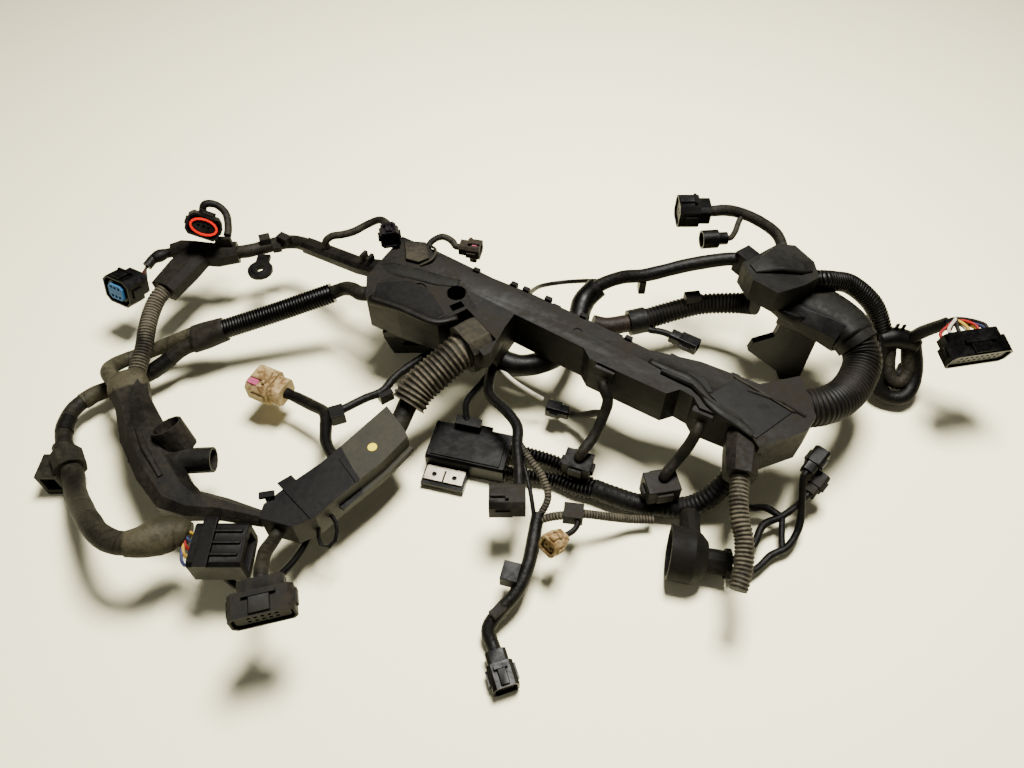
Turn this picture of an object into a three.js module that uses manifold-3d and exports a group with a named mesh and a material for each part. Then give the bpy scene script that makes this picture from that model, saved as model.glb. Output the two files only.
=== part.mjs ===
// Vehicle wiring harness with its moulded protectors, conduits, branches and connectors.
// Millimetres. X runs to the right, Y to the back and Z up from the table that it lies on.
import * as THREE from 'three';
import { mergeVertices } from 'three/addons/utils/BufferGeometryUtils.js';
import Module from 'manifold-3d';

const wasm = await Module();
wasm.setup();

// The frame's origin lies on the table under the middle of the harness.
const CENTRE = [8, -68];

// Clearances.
const GAP = 0.3;
const BORE_CLEARANCE = 0.6;

// Trunk protector: an upside down channel with a tray that closes it.
const TRUNK_TOP = 95;
const TRUNK_HEIGHT = 35;
const TRUNK_WALL = 2.5;
const TRUNK_BASE_THICKNESS = 2.5;
const TRUNK_BUNDLE_DIAMETER = 19;
const TRUNK_ARM_WIDTH = 15;
const TRUNK_ARM_HEIGHT = 13;

// Trough protector at the lower left.
const TROUGH_TOP = 62;
const TROUGH_HEIGHT = 26;
const TROUGH_WALL = 2.2;

// Conduits, looms and leads.
const RIBBED_OUTER = 30;
const RIBBED_PITCH = 5.2;
const RIBBED_DEPTH = 2.6;
const NECK_DIAMETER = 16;
const COLLAR_WALL = 2.2;
const COLLAR_LENGTH = 20;
const U_TUBE_OUTER = 30;
const FINE_PITCH = 5;
const FINE_DEPTH = 1.1;
const THICK_TUBE_OUTER = 18;
const DROP_TUBE_OUTER = 15;
const FOAM_DIAMETER = 13;
const LOOM_DIAMETER = 13.5;
const LOOP_HOSE_DIAMETER = 17;
const OUTER_TUBE_OUTER = 17;
const DROP_BRANCH_OUTER = 14;
const SIDE_CONDUIT_OUTER = 19;
const POWER_CONDUIT_OUTER = 12;
const POWER_TUBE_DIAMETER = 17;
const BACK_TUBE_DIAMETER = 12;
const SLEEVE_DIAMETER = 20;
const BRANCH_DIAMETER = 9;
const LEAD_DIAMETER = 6;
const WIRE_DIAMETER = 2.4;

// Relay box.
const BOX_LENGTH = 66;
const BOX_WIDTH = 38;
const BOX_HEIGHT = 20;
const BOX_AT = [-35, -79];
const BOX_TURN = -14;

const COLOURS = {
  dusty: 0x45433b,
  black: 0x1b1b1a,
  conduit: 0x33312c,
  loom: 0x5b5748,
  tape: 0x9b9067,
  trough: 0x5d605c,
  collar: 0x8b8878,
  grey: 0x54544d,
  beige: 0xb9aa8e,
  blue: 0x3c79a0,
  red: 0xd8431f,
  metal: 0xb5b09a,
};

// Helpers for solids.

function asSolid(geometry) {
  const bare = geometry.clone();
  bare.deleteAttribute('normal');
  bare.deleteAttribute('uv');
  const merged = mergeVertices(bare, 1e-4);
  return new wasm.Manifold(new wasm.Mesh({
    numProp: 3,
    vertProperties: Float32Array.from(merged.attributes.position.array),
    triVerts: Uint32Array.from(merged.index.array),
  }));
}

function asGeometry(solid) {
  const mesh = solid.getMesh();
  const geometry = new THREE.BufferGeometry();
  geometry.setAttribute('position', new THREE.BufferAttribute(mesh.vertProperties, 3));
  geometry.setIndex(new THREE.BufferAttribute(mesh.triVerts, 1));
  return geometry;
}

function join(...geometries) {
  return asGeometry(geometries.map(asSolid).reduce((whole, part) => whole.add(part)));
}

function cut(geometry, ...tools) {
  return asGeometry(tools.map(asSolid).reduce((whole, tool) => whole.subtract(tool), asSolid(geometry)));
}

// A closed skin over rings of points that run anticlockwise round the way they follow.
function skin(rings) {
  const count = rings[0].length;
  const positions = rings.flat().flatMap((p) => [p.x, p.y, p.z]);
  const index = [];
  for (let ring = 0; ring + 1 < rings.length; ring += 1) {
    for (let i = 0; i < count; i += 1) {
      const a = ring * count + i;
      const b = ring * count + ((i + 1) % count);
      index.push(a, b, b + count, a, b + count, a + count);
    }
  }
  const last = (rings.length - 1) * count;
  for (let i = 1; i + 1 < count; i += 1) {
    index.push(0, i + 1, i);
    index.push(last, last + i, last + i + 1);
  }
  const geometry = new THREE.BufferGeometry();
  geometry.setAttribute('position', new THREE.Float32BufferAttribute(positions, 3));
  geometry.setIndex(index);
  return geometry;
}

// Path points may be plain lists.
const vector = (p) => (p.isVector3 ? p : new THREE.Vector3(p[0], p[1], p[2]));
const pathOf = (points) => new THREE.CatmullRomCurve3(points.map(vector), false, 'centripetal');

// A plain cord: one section drawn along a smooth path. A bore for it grows the same form.
function cord(points, diameter, sides = 8, grow = 0) {
  const path = pathOf(points);
  const section = new THREE.Shape();
  for (let i = 0; i < sides; i += 1) {
    const angle = (i * 2 * Math.PI) / sides;
    const radius = diameter / 2 + grow;
    const at = [Math.cos(angle) * radius, Math.sin(angle) * radius];
    if (i === 0) section.moveTo(...at);
    else section.lineTo(...at);
  }
  section.closePath();
  const steps = Math.max(2, Math.round(path.getLength() / (2 * diameter)));
  return new THREE.ExtrudeGeometry(section, {
    steps, bevelEnabled: false, extrudePath: path, curveSegments: 1,
  });
}

// A conduit with ridges: rings of two sizes take turns along the path.
function bellows(points, outer, pitch, depth, sides = 10) {
  const path = pathOf(points);
  const steps = 2 * Math.max(2, Math.round(path.getLength() / pitch));
  const frames = path.computeFrenetFrames(steps, false);
  const rings = path.getSpacedPoints(steps).map((centre, k) => {
    const radius = outer / 2 - (k % 2 ? 0 : depth);
    return Array.from({ length: sides }, (_, i) => {
      const angle = (i * 2 * Math.PI) / sides;
      return centre.clone()
        .addScaledVector(frames.normals[k], radius * Math.cos(angle))
        .addScaledVector(frames.binormals[k], radius * Math.sin(angle));
    });
  });
  return skin(rings);
}

// A moulded form through stations [x, y, z, width, height], each a rectangle with cut corners
// or an oval, level across.
function loft(stations, { corner = 0.25, round = 0 } = {}) {
  const centres = stations.map(vector);
  const rings = stations.map(([, , , width, height], k) => {
    const before = centres[Math.max(0, k - 1)];
    const after = centres[Math.min(centres.length - 1, k + 1)];
    const along = after.clone().sub(before).normalize();
    const level = Math.abs(along.z) > 0.99 ? new THREE.Vector3(0, 1, 0) : new THREE.Vector3(0, 0, 1);
    const across = along.clone().cross(level).normalize();
    const upward = across.clone().cross(along);
    return section(width, height, corner, round).map(([u, v]) => centres[k].clone()
      .addScaledVector(upward, v).addScaledVector(across, u));
  });
  return skin(rings);
}

function section(width, height, corner, round) {
  if (round) {
    return Array.from({ length: round }, (_, i) => {
      const angle = (-i * 2 * Math.PI) / round;
      return [Math.cos(angle) * width / 2, Math.sin(angle) * height / 2];
    });
  }
  const c = corner * Math.min(width, height);
  const [w, h] = [width / 2, height / 2];
  return [
    [w, h - c], [w, c - h], [w - c, -h], [c - w, -h],
    [-w, c - h], [-w, h - c], [c - w, h], [w - c, h],
  ];
}

// An upright solid over a plan outline.
function prism(outline, bottom, top) {
  const shape = new THREE.Shape(outline.map(([x, y]) => new THREE.Vector2(x, y)));
  return new THREE.ExtrudeGeometry(shape, { depth: top - bottom, bevelEnabled: false })
    .translate(0, 0, bottom);
}

// The same outline moved inwards by a distance.
function inset(outline, distance) {
  const turning = outline.reduce((sum, [x, y], i) => {
    const [x2, y2] = outline[(i + 1) % outline.length];
    return sum + x * y2 - x2 * y;
  }, 0);
  const sign = Math.sign(turning);
  const edges = outline.map(([x, y], i) => {
    const [x2, y2] = outline[(i + 1) % outline.length];
    const length = Math.hypot(x2 - x, y2 - y);
    const normal = [(-(y2 - y) * sign) / length, ((x2 - x) * sign) / length];
    return { normal, reach: normal[0] * x + normal[1] * y + distance };
  });
  return outline.map((_, i) => {
    const a = edges[(i + outline.length - 1) % outline.length];
    const b = edges[i];
    const det = a.normal[0] * b.normal[1] - a.normal[1] * b.normal[0];
    return [
      (a.reach * b.normal[1] - b.reach * a.normal[1]) / det,
      (a.normal[0] * b.reach - b.normal[0] * a.reach) / det,
    ];
  });
}

// An upside down channel: a top and a wall all round, open below.
function channel(outline, top, height, wall) {
  return cut(prism(outline, top - height, top), prism(inset(outline, wall), top - height - 1, top - wall));
}

function block(length, width, height, at, turn = 0) {
  return new THREE.BoxGeometry(length, width, height)
    .rotateZ(THREE.MathUtils.degToRad(turn)).translate(...at);
}

// A drum along a line, as a boss, cup or ring.
function drum(from, to, diameter, sides = 12) {
  return loft([[...from, diameter, diameter], [...to, diameter, diameter]], { round: sides });
}

// The place of a connector: its cable face, its heading, its tilt upwards and its roll.
function pose(at, heading, tilt = 0, roll = 0) {
  const rad = THREE.MathUtils.degToRad;
  return new THREE.Matrix4().makeTranslation(...at)
    .multiply(new THREE.Matrix4().makeRotationZ(rad(heading)))
    .multiply(new THREE.Matrix4().makeRotationY(-rad(tilt)))
    .multiply(new THREE.Matrix4().makeRotationX(rad(roll)));
}

const spot = (place, x, y = 0, z = 0) => new THREE.Vector3(x, y, z).applyMatrix4(place);

// The last two points of a lead that enters a connector squarely.
const into = (place, run = 7) => [spot(place, -run), spot(place, -GAP)];

function bar(length, width, height, at, cornerShare = 0.18) {
  return loft([[0, 0, 0, width, height], [length, 0, 0, width, height]], { corner: cornerShare })
    .translate(...at);
}

// A connector housing along X: rear body, shroud with an open mouth, core with terminal slots,
// a latch on top and a keying rib on each side.
function plug({
  length, width, height, wall = 1.6, cavity = 9, slot = 1.8, pins = [0, 0], latch = true, rear = 0.8,
}) {
  const rearLength = length * 0.35;
  let body = join(
    bar(rearLength + 1, width * rear, height * rear, [0, 0, 0]),
    bar(length - rearLength, width, height, [rearLength, 0, 0]),
  );
  const mouth = bar(cavity + 1, width - 2 * wall, height - 2 * wall, [length - cavity, 0, 0]);
  const core = bar(cavity, width - 2 * wall - 2 * slot, height - 2 * wall - 2 * slot,
    [length - cavity - 1.5, 0, 0]);
  body = cut(body, cut(mouth, core));
  const [columns, rows] = pins;
  const terminals = [];
  for (let c = 0; c < columns; c += 1) {
    for (let r = 0; r < rows; r += 1) {
      const y = (c - (columns - 1) / 2) * 4.4;
      const z = (r - (rows - 1) / 2) * 4.4;
      terminals.push(block(5, 2.2, 2.2, [length - 1.5, y, z]));
    }
  }
  if (terminals.length) body = cut(body, ...terminals);
  const extras = [];
  if (latch) {
    extras.push(bar(length * 0.5, width * 0.32, 2.6, [length * 0.45, 0, height / 2 + 0.9]));
    extras.push(block(2.5, width * 0.5, 3.6, [length * 0.5, 0, height / 2 + 1.2]));
  }
  for (const side of [-1, 1]) {
    extras.push(block(length * 0.4, 2, height * 0.3, [length * 0.62, side * (width / 2 + 0.4), 0]));
  }
  return join(body, ...extras);
}

const harness = new THREE.Group();
harness.position.set(-CENTRE[0], -CENTRE[1], 0);

function add(name, geometry, colour, roughness = 0.8, place = null) {
  const material = new THREE.MeshStandardMaterial({
    color: COLOURS[colour], roughness, metalness: colour === 'metal' ? 0.8 : 0,
  });
  const mesh = new THREE.Mesh(geometry, material);
  mesh.name = name;
  if (place) mesh.applyMatrix4(place);
  harness.add(mesh);
}

// Trunk protector. Its short arm ends at the collar of the ribbed conduit. The outline is seen
// from above, from the back left corner on.
const COLLAR_PLACE = pose([-24, -13.8, 77], 216, 0);
const ARM_MOUTH = [-22, 19].map((y) => spot(COLLAR_PLACE, -GAP, y)).map(({ x, y }) => [x, y]);
const TRUNK_OUTLINE = [
  [-97, 92], [-123, 42], [-121, 18], [-94, 3], [-60, -12], ...ARM_MOUTH,
  [2, -2], [56, -38], [60, -49], [115, -83], [126, -79], [135, -86],
  [138, -96], [168, -112], [175, -131], [212, -117], [222, -104], [219, -66], [187, -74],
  [146, -52], [107, -40], [61, -8], [15, 22], [-15, 39], [-65, 73],
].reverse();

const U_TUBE_ROUTE = [
  [214, -86, 78.6], [222, -85, 78.4], [236, -82, 77], [254, -72, 73], [272, -54, 70], [284, -32, 72],
  [283, -19, 76], [279.4, -13.5, 78.4],
];
const DROP_BRANCH_ROUTE = [
  [164, -138, 77], [163, -146, 76], [160, -160, 74], [159, -175, 71], [160, -190, 67],
  [157, -208, 62], [152, -221, 58],
];

function trunkCover() {
  const shell = channel(TRUNK_OUTLINE, TRUNK_TOP, TRUNK_HEIGHT, TRUNK_WALL);
  const arm = loft([
    [-192, 118, 61, TRUNK_ARM_WIDTH, TRUNK_ARM_HEIGHT],
    [-133, 68, 82, TRUNK_ARM_WIDTH, TRUNK_ARM_HEIGHT],
    [-112, 56, 88, TRUNK_ARM_WIDTH + 2, TRUNK_ARM_HEIGHT],
    [-96, 48, 88.4, TRUNK_ARM_WIDTH + 2, TRUNK_ARM_HEIGHT],
  ]);
  const outlet = loft([[171, -110, 79, 25, 26], [167, -126, 78, 25, 26], [163, -144, 76, 22, 24]]);
  const ridge = loft([[114, -62, 95.5, 5, 5], [136, -76, 96, 6, 6], [146, -91, 96, 5, 5], [166, -108, 95, 4, 4]]);
  const seam = loft([[176, -80, 95, 3, 3], [200, -92, 95.5, 3, 4], [214, -104, 95, 3, 3]]);
  const fins = [[-128, 66], [-122, 62]].map(([x, y]) => block(3, 8, 12, [x, y, 93], -30));
  const tabs = [[0, 31], [36, 8], [84, -24], [126, -46], [170, -65]]
    .map(([x, y]) => block(7, 5, 5, [x, y, TRUNK_TOP - 4], -32));
  const clips = [[72, -57], [141, -98]].map(([x, y]) => block(16, 5, 9, [x, y, 88], -30));
  const wedge = prism([[-13, -30], [-26, -40], [-22, -46], [-17, -43], [-6, -17], [-9, -15]], TRUNK_TOP - 16,
    TRUNK_TOP);
  const solid = join(shell, arm, outlet, ridge, seam, wedge, ...fins, ...tabs, ...clips);
  return cut(
    solid,
    cord(U_TUBE_ROUTE.slice(0, 3), U_TUBE_OUTER + 2 * BORE_CLEARANCE, 10),
    cord(DROP_BRANCH_ROUTE.slice(0, 3), DROP_BRANCH_OUTER + 2 * BORE_CLEARANCE, 10),
    drum([-46, 22, 93.5], [-46, 22, 97], 17),
    drum([-78, 27, 93.5], [-78, 27, 97], 14),
    drum([52, -21, 94], [52, -21, 97], 8, 8),
    block(11, 7, 20, [-45, 7, TRUNK_TOP], 30),
  );
}

function trunkBase() {
  const bottom = TRUNK_TOP - TRUNK_HEIGHT;
  return prism(inset(TRUNK_OUTLINE, TRUNK_WALL + GAP), bottom, bottom + TRUNK_BASE_THICKNESS);
}

const BUNDLE_LEVEL = TRUNK_TOP - TRUNK_HEIGHT + TRUNK_BASE_THICKNESS + TRUNK_BUNDLE_DIAMETER / 2 + GAP;
const BUNDLE_ROUTE = [
  [-100, 40], [-60, 30], [-18, 20], [7, 10.5], [30, -4], [50, -17.3], [72, -35], [107, -58],
  [135, -67], [155, -77], [198, -90],
];

add('trunk_cover', trunkCover(), 'dusty');
add('trunk_base', trunkBase(), 'black');
add('trunk_wire_bundle',
  cord(BUNDLE_ROUTE.map(([x, y]) => [x, y, BUNDLE_LEVEL]), TRUNK_BUNDLE_DIAMETER), 'black');

// The short arm's collar and the large ribbed conduit that runs down into the trough.
const RIBBED_ROUTE = [
  spot(COLLAR_PLACE, 1), spot(COLLAR_PLACE, COLLAR_LENGTH - 4), [-44, -28.5, 76.5], [-61, -42, 70],
  [-75, -54, 64], [-83, -65, 58],
];
const NECK_ROUTE = [[-82.5, -64, 58.4], [-87, -73, 53], [-92, -83, 49], [-104, -99, 48], [-122, -121, 48],
  [-145, -146, 48], [-166, -160, 48]];

function collar() {
  const outside = RIBBED_OUTER + 2 * (BORE_CLEARANCE + COLLAR_WALL);
  return cut(
    bar(COLLAR_LENGTH, outside, outside, [0, 0, 0], 0.2),
    drum([-1, 0, 0], [COLLAR_LENGTH + 1, 0, 0], RIBBED_OUTER + 2 * BORE_CLEARANCE, 16),
  );
}

add('outlet_collar', collar(), 'collar', 0.8, COLLAR_PLACE);
add('ribbed_conduit', join(
  bellows(RIBBED_ROUTE, RIBBED_OUTER, RIBBED_PITCH, RIBBED_DEPTH, 12),
  cord(NECK_ROUTE, NECK_DIAMETER),
), 'loom');

// Trough protector, open below, over the neck's loom.
const TROUGH_OUTLINE = [
  [-99, -70], [-84, -91], [-80, -99], [-97, -122], [-127, -153], [-140, -168], [-155, -176],
  [-180, -169], [-179, -158], [-163, -141], [-142, -122], [-126, -103], [-113, -87],
];

function trough() {
  const shell = channel(TROUGH_OUTLINE, TROUGH_TOP, TROUGH_HEIGHT, TROUGH_WALL);
  const flange = prism([[-80, -99], [-97, -122], [-127, -153], [-124, -155], [-93, -123], [-77, -101]],
    TROUGH_TOP - 16, TROUGH_TOP - 13);
  const hook = cord([[-133, -158, 46], [-128, -166, 44], [-129, -177, 40], [-137, -180, 37],
    [-141, -173, 40], [-141, -168, 45]], 3.4, 6);
  const clipBand = prism([[-134, -162], [-142, -171], [-172, -141], [-163, -134]], TROUGH_TOP - 1, TROUGH_TOP + 1.2);
  const clip = join(block(4, 4, 8, [-176, -153, 60]), block(11, 5, 2.5, [-177, -152, 65], 10));
  return cut(
    join(shell, flange, hook, clipBand, clip),
    cord(NECK_ROUTE, NECK_DIAMETER, 8, BORE_CLEARANCE),
  );
}

add('trough_cover', trough(), 'trough');

// Socket holder with its two cups.
function cup(from, to, diameter, wall, depth) {
  const start = vector(from);
  const end = vector(to);
  const along = end.clone().sub(start).normalize();
  const floor = end.clone().addScaledVector(along, -depth);
  const past = end.clone().addScaledVector(along, 1);
  return {
    outside: drum(start.toArray(), end.toArray(), diameter),
    inside: drum(floor.toArray(), past.toArray(), diameter - 2 * wall),
  };
}

function socketHolder() {
  const body = loft([
    [-318, -40, 47, 32, 18], [-308, -58, 47, 27, 22], [-291, -88, 46, 34, 29], [-270, -120, 44, 34, 29],
    [-252, -142, 44, 30, 24], [-236, -150, 45, 22, 19], [-212, -154, 47, 16, 16], [-181, -163, 49, 9, 14],
  ], { corner: 0.3 });
  const big = cup([-258, -100, 46], [-266, -92, 66], 25, 1.8, 15);
  const small = cup([-268, -112, 46], [-231, -110, 46], 20, 1.8, 12);
  const teeth = [0, 1, 2, 3, 4].map((i) => block(5, 1.6, 6, [-301 + i * 1.9, -96 - i * 4, 46], 30));
  const rib = loft([[-300, -76, 58, 4, 4], [-280, -108, 60, 5, 5], [-262, -132, 57, 4, 4]]);
  return cut(join(body, big.outside, small.outside, rib, ...teeth), big.inside, small.inside);
}

add('socket_holder', socketHolder(), 'grey');

// Thick convoluted tube, its arm into the trunk's left wall and its Y joint.
const THICK_START = [-262, 25.5, 43];
add('thick_convoluted_tube', join(
  bellows([THICK_START, [-210, 38, 54], [-158, 50, 67]], THICK_TUBE_OUTER, FINE_PITCH, FINE_DEPTH),
  cord([[-160, 49.6, 66.5], [-147, 50, 72], [-137, 42, 79], [-129.5, 35, 81.4], [-123.4, 34.5, 81.5]], 13),
  loft([[-258, 26.4, 44, 20, 20], [-270, 23.4, 41, 26, 19], [-282, 20.5, 38.5, 28, 16]]),
), 'conduit');

const LOOM_START = [-280.7, 13.8, 38.4];
const FOAM_START = [-283.9, 27, 38.4];
add('foam_bend', cord([
  FOAM_START, [-291.5, 25.2, 36.9], [-308, 21, 31], [-327, 14, 27], [-341, 6, 28], [-347, -8, 35],
  [-342, -22, 43], [-329, -36.9, 47], [-325.2, -43.5, 47],
], FOAM_DIAMETER), 'tape');

// The loom that runs through the clip box, round the left side and into the tape bulb.
const LOOP_HOSE_ROUTE = [
  [-366.5, -84, 25.4], [-357, -99, 25], [-348, -113, 25], [-337, -131, 32], [-321, -150, 44],
  [-304, -168, 56], [-289, -182, 62], [-275, -189, 64], [-262, -190, 64],
];
const BLOCK_PLACE = [-206, -187, 46];
const BLOCK_SIZE = [38, 34, 26];

function leftLoop() {
  const left = BLOCK_PLACE[0] - BLOCK_SIZE[0] / 2 - GAP;
  const wires = [0, 1, 2, 3, 4].map((i) => cord(
    [[-234, -177, 58 - i], [-230, -176 - i * 5.5, 54], [left - 3, -176 - i * 6, 51], [left, -176 - i * 6, 51]],
    WIRE_DIAMETER, 6));
  return join(
    cord([LOOM_START, [-288.3, 12, 36.9], [-318, -8, 25], [-346, -19, 21], [-362, -28, 21], [-374, -44, 22],
      [-374, -64, 24], [-365, -86, 25.3]], LOOM_DIAMETER),
    cord(LOOP_HOSE_ROUTE, LOOP_HOSE_DIAMETER),
    loft([[-268, -190.5, 64, 18, 18], [-257, -188, 63, 21, 21], [-247, -182, 60, 26, 26],
      [-237, -178, 57, 26, 25], [-230, -179, 56, 20, 20]], { round: 10 }),
    ...wires,
  );
}

function clipBox() {
  const ring = drum([-361.4, -92, 25], [-352.4, -106.4, 25], 25, 10);
  const box = cut(block(18, 22, 26, [-370, -103, 13]), block(12, 14, 16, [-370, -111, 15]));
  return cut(join(ring, box), cord(LOOP_HOSE_ROUTE, LOOP_HOSE_DIAMETER, 8, BORE_CLEARANCE));
}

add('left_loop', leftLoop(), 'loom');
add('left_clip_box', clipBox(), 'grey');

// Black block connector, the loop cable behind it and the wide connector on its taped tail.
function blockConnector() {
  const [length, width, height] = BLOCK_SIZE;
  const shell = cut(bar(length, width, height, [-length / 2, 0, 0], 0.1), block(10, 24, 14, [length / 2, 0, 0]));
  const lever = block(10, width + 4, 4, [-8, 0, height / 2 + 1]);
  const ribs = [-9, 0, 9].map((y) => block(20, 2, 3, [6, y, height / 2 + 0.5]));
  return join(shell, lever, ...ribs).translate(...BLOCK_PLACE);
}

add('block_connector', blockConnector(), 'black', 0.5);
add('loop_cable', cord([
  [-150, -157, 35.7], [-151, -165, 30], [-157, -180, 27], [-168, -194, 24], [-182, -204, 22],
  [-196, -204, 23], [-204, -200, 25.5], [-206, -198.5, 29], [-206, -198.5, 32.6],
], LEAD_DIAMETER), 'black');

const WIDE_GREY_PLACE = pose([-164, -222, 76], -76, 0);
add('wide_grey_connector', plug({
  length: 27, width: 42, height: 18, cavity: 11, pins: [5, 2], rear: 0.72,
}), 'grey', 0.7, WIDE_GREY_PLACE);
add('wide_connector_tail', cord([
  [-168.2, -173.1, 50], [-170.3, -180.5, 50.5], [-171, -194, 60], [-167.5, -208, 71],
  ...into(WIDE_GREY_PLACE, 5),
], 10), 'loom');

// Upper left: Y protector, taped bundle with its bolt ring, blue and red connectors.
const DROP_TUBE_ROUTE = [
  [-312.6, 61.1, 58], [-315.8, 54.3, 57.4], [-318.5, 40, 55], [-318, 20, 53], [-316, 0, 50],
  [-316, -18, 48], [-315, -28.9, 47], [-311.2, -35.8, 47],
];

function yProtector() {
  const beam = loft([[-256, 110, 60, 19, 18], [-275, 106, 60, 21, 20], [-296, 109, 60, 22, 19],
    [-309, 113, 60, 18, 16], [-318, 111, 59, 15, 14]]);
  const outlet = loft([[-290, 106, 60, 23, 18], [-301, 86, 60, 28, 22], [-312.4, 61.5, 58, 25, 21]]);
  const plate = block(14, 4, 26, [-265, 108.5, 66]);
  return join(beam, outlet, plate, block(4, 12, 5, [-272, 110, 71]));
}

const BLUE_PLACE = pose([-343, 80, 53], 243, 15);
const RED_PLACE = pose([-281, 117, 90], -68, 25, -35);
const BLUE_LENGTH = 25;

add('y_protector', yProtector(), 'dusty');
add('drop_tube', bellows(DROP_TUBE_ROUTE, DROP_TUBE_OUTER, FINE_PITCH, FINE_DEPTH, 8), 'loom');
add('blue_face_connector', plug({
  length: BLUE_LENGTH, width: 30, height: 27, cavity: 8, slot: 3, latch: true,
}), 'black', 0.5, BLUE_PLACE);
const retainer = cut(
  bar(2.5, 17, 15, [BLUE_LENGTH - 1.2, 0, 0]),
  ...[[-4.4, -4.4], [0, -4.4], [4.4, -4.4], [-4.4, 4.4], [0, 4.4], [4.4, 4.4]]
    .map(([y, z]) => block(6, 2.4, 2.4, [BLUE_LENGTH, y, z])),
);
add('blue_retainer', retainer, 'blue', 0.5, BLUE_PLACE);
add('blue_lead', join(
  cord([[-318.5, 110.9, 59], [-325, 109.3, 58.5], [-333, 103, 59], [-338, 94, 57]], 9),
  ...[-5, 0, 5].map((y) => cord([[-335, 100, 58.5], [-339, 92, 56], spot(BLUE_PLACE, -5, y * 0.7),
    spot(BLUE_PLACE, -GAP, y)], WIRE_DIAMETER, 6)),
), 'black');

const RED_LENGTH = 20;
add('red_seal_connector', plug({
  length: RED_LENGTH, width: 29, height: 20, cavity: 8, slot: 2.6, pins: [3, 1],
}), 'grey', 0.6, RED_PLACE);
const seal = cut(
  loft([[0, 0, 0, 24.5, 15.5], [1.2, 0, 0, 24.5, 15.5]], { round: 16 }).translate(RED_LENGTH - 1.2, 0, 0),
  loft([[-1, 0, 0, 20.4, 11.6], [3, 0, 0, 20.4, 11.6]], { round: 16 }).translate(RED_LENGTH - 1.2, 0, 0),
);
add('red_seal', seal, 'red', 0.4, RED_PLACE);
add('red_loop_cable', cord([
  spot(RED_PLACE, -GAP), spot(RED_PLACE, -8), [-281, 132, 99], [-272, 137, 97], [-264, 131, 90],
  [-261, 118, 82], [-261, 111, 79.4],
], 7), 'loom');

function boltRing() {
  const ring = join(drum([-233, 91, 53], [-233, 91, 57], 23, 14), block(12, 15, 4, [-233, 103.2, 55]),
    drum([-233, 91, 52], [-233, 91, 58], 15, 14));
  return cut(ring, drum([-233, 91, 50], [-233, 91, 60], 8, 12));
}

add('bolt_ring', boltRing(), 'black');
add('upper_taped_bundle', join(
  cord([[-255.6, 110.1, 60], [-248, 111.7, 59.8], [-236, 118.5, 58], [-220, 125, 58], [-207, 127, 57.5],
    [-197.9, 123, 58.9], [-192.3, 118.3, 60.9]], 13),
  block(10, 9, 7, [-232, 121, 66], 20), block(12, 8, 7, [-214, 122, 66], -30), block(8, 7, 6, [-221, 116, 60], 15),
), 'dusty');

// Two small connectors behind the trunk's left end.
const BACK_LEFT_PLACE = pose([-109, 95, 102], -78, 8);
const BACK_RIGHT_PLACE = pose([-46, 86, 88], -12, 0);
add('back_lead_left', cord([
  [-167.4, 97.2, 77], [-168.6, 98.2, 82.7], [-163, 101, 87], [-153, 103, 87.5], [-143, 106, 88.5],
  [-132, 112, 91], [-120, 113, 96], ...into(BACK_LEFT_PLACE, 6),
], 7), 'loom');
add('back_connector_left', plug({ length: 20, width: 17, height: 15, cavity: 7 }), 'black', 0.5, BACK_LEFT_PLACE);
add('back_lead_right', cord([
  [-76, 80.8, 86], [-72, 90, 90], [-62, 95, 92], [-53, 91, 90], ...into(BACK_RIGHT_PLACE, 4),
], LEAD_DIAMETER), 'loom');
add('back_connector_right', join(
  plug({ length: 19, width: 16, height: 13, cavity: 7 }), block(6, 6, 9, [12, 0, -9])),
'grey', 0.6, BACK_RIGHT_PLACE);

// Under the trunk's left end: the bracket foot, the sleeved lead and the beige connector.
function rearFoot() {
  const profile = new THREE.Shape([[10, 59.7], [16, 59.7], [16, 56], [42, 4], [48, 4], [48, 0], [37, 0],
    [36, 3], [11, 52]].map(([y, z]) => new THREE.Vector2(y, z)));
  const plate = new THREE.ExtrudeGeometry(profile, { depth: 46, bevelEnabled: false })
    .rotateX(Math.PI / 2).rotateZ(Math.PI / 2).translate(-111, 0, 0);
  return cut(plate, block(20, 60, 14, [-88, 28, 32]));
}

const BEIGE_PLACE = pose([-191, -36, 34], 155, 0);
add('rear_foot', rearFoot(), 'black');
add('beige_connector', plug({ length: 31, width: 27, height: 22, cavity: 9, pins: [4, 2] }), 'beige', 0.6, BEIGE_PLACE);
add('sleeved_lead', join(
  cord([[-62, 6, 59.6], [-62.3, 5.5, 55], [-66, -2, 51], [-78, -11, 49], [-98, -27, 45], [-108, -40, 42], [-122, -46, 40],
    [-137, -56, 40], [-151, -66, 40]], 7),
  cord([...into(BEIGE_PLACE, 6).reverse(), [-167, -50, 36], [-154, -60, 39], [-150, -76, 42], [-147, -92, 45],
    [-141, -104.3, 47.5], [-134.2, -111.4, 48]], 10),
  block(12, 9, 10, [-106, -42, 39], 35),
  block(12, 12, 12, [-143, -63, 40], 20),
), 'black');

// Relay box with its terminal pads, and the power conduits that leave it.
const onBox = (x, y, z) => {
  const turn = THREE.MathUtils.degToRad(BOX_TURN);
  return [
    BOX_AT[0] + x * Math.cos(turn) - y * Math.sin(turn),
    BOX_AT[1] + x * Math.sin(turn) + y * Math.cos(turn), z,
  ];
};

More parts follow.
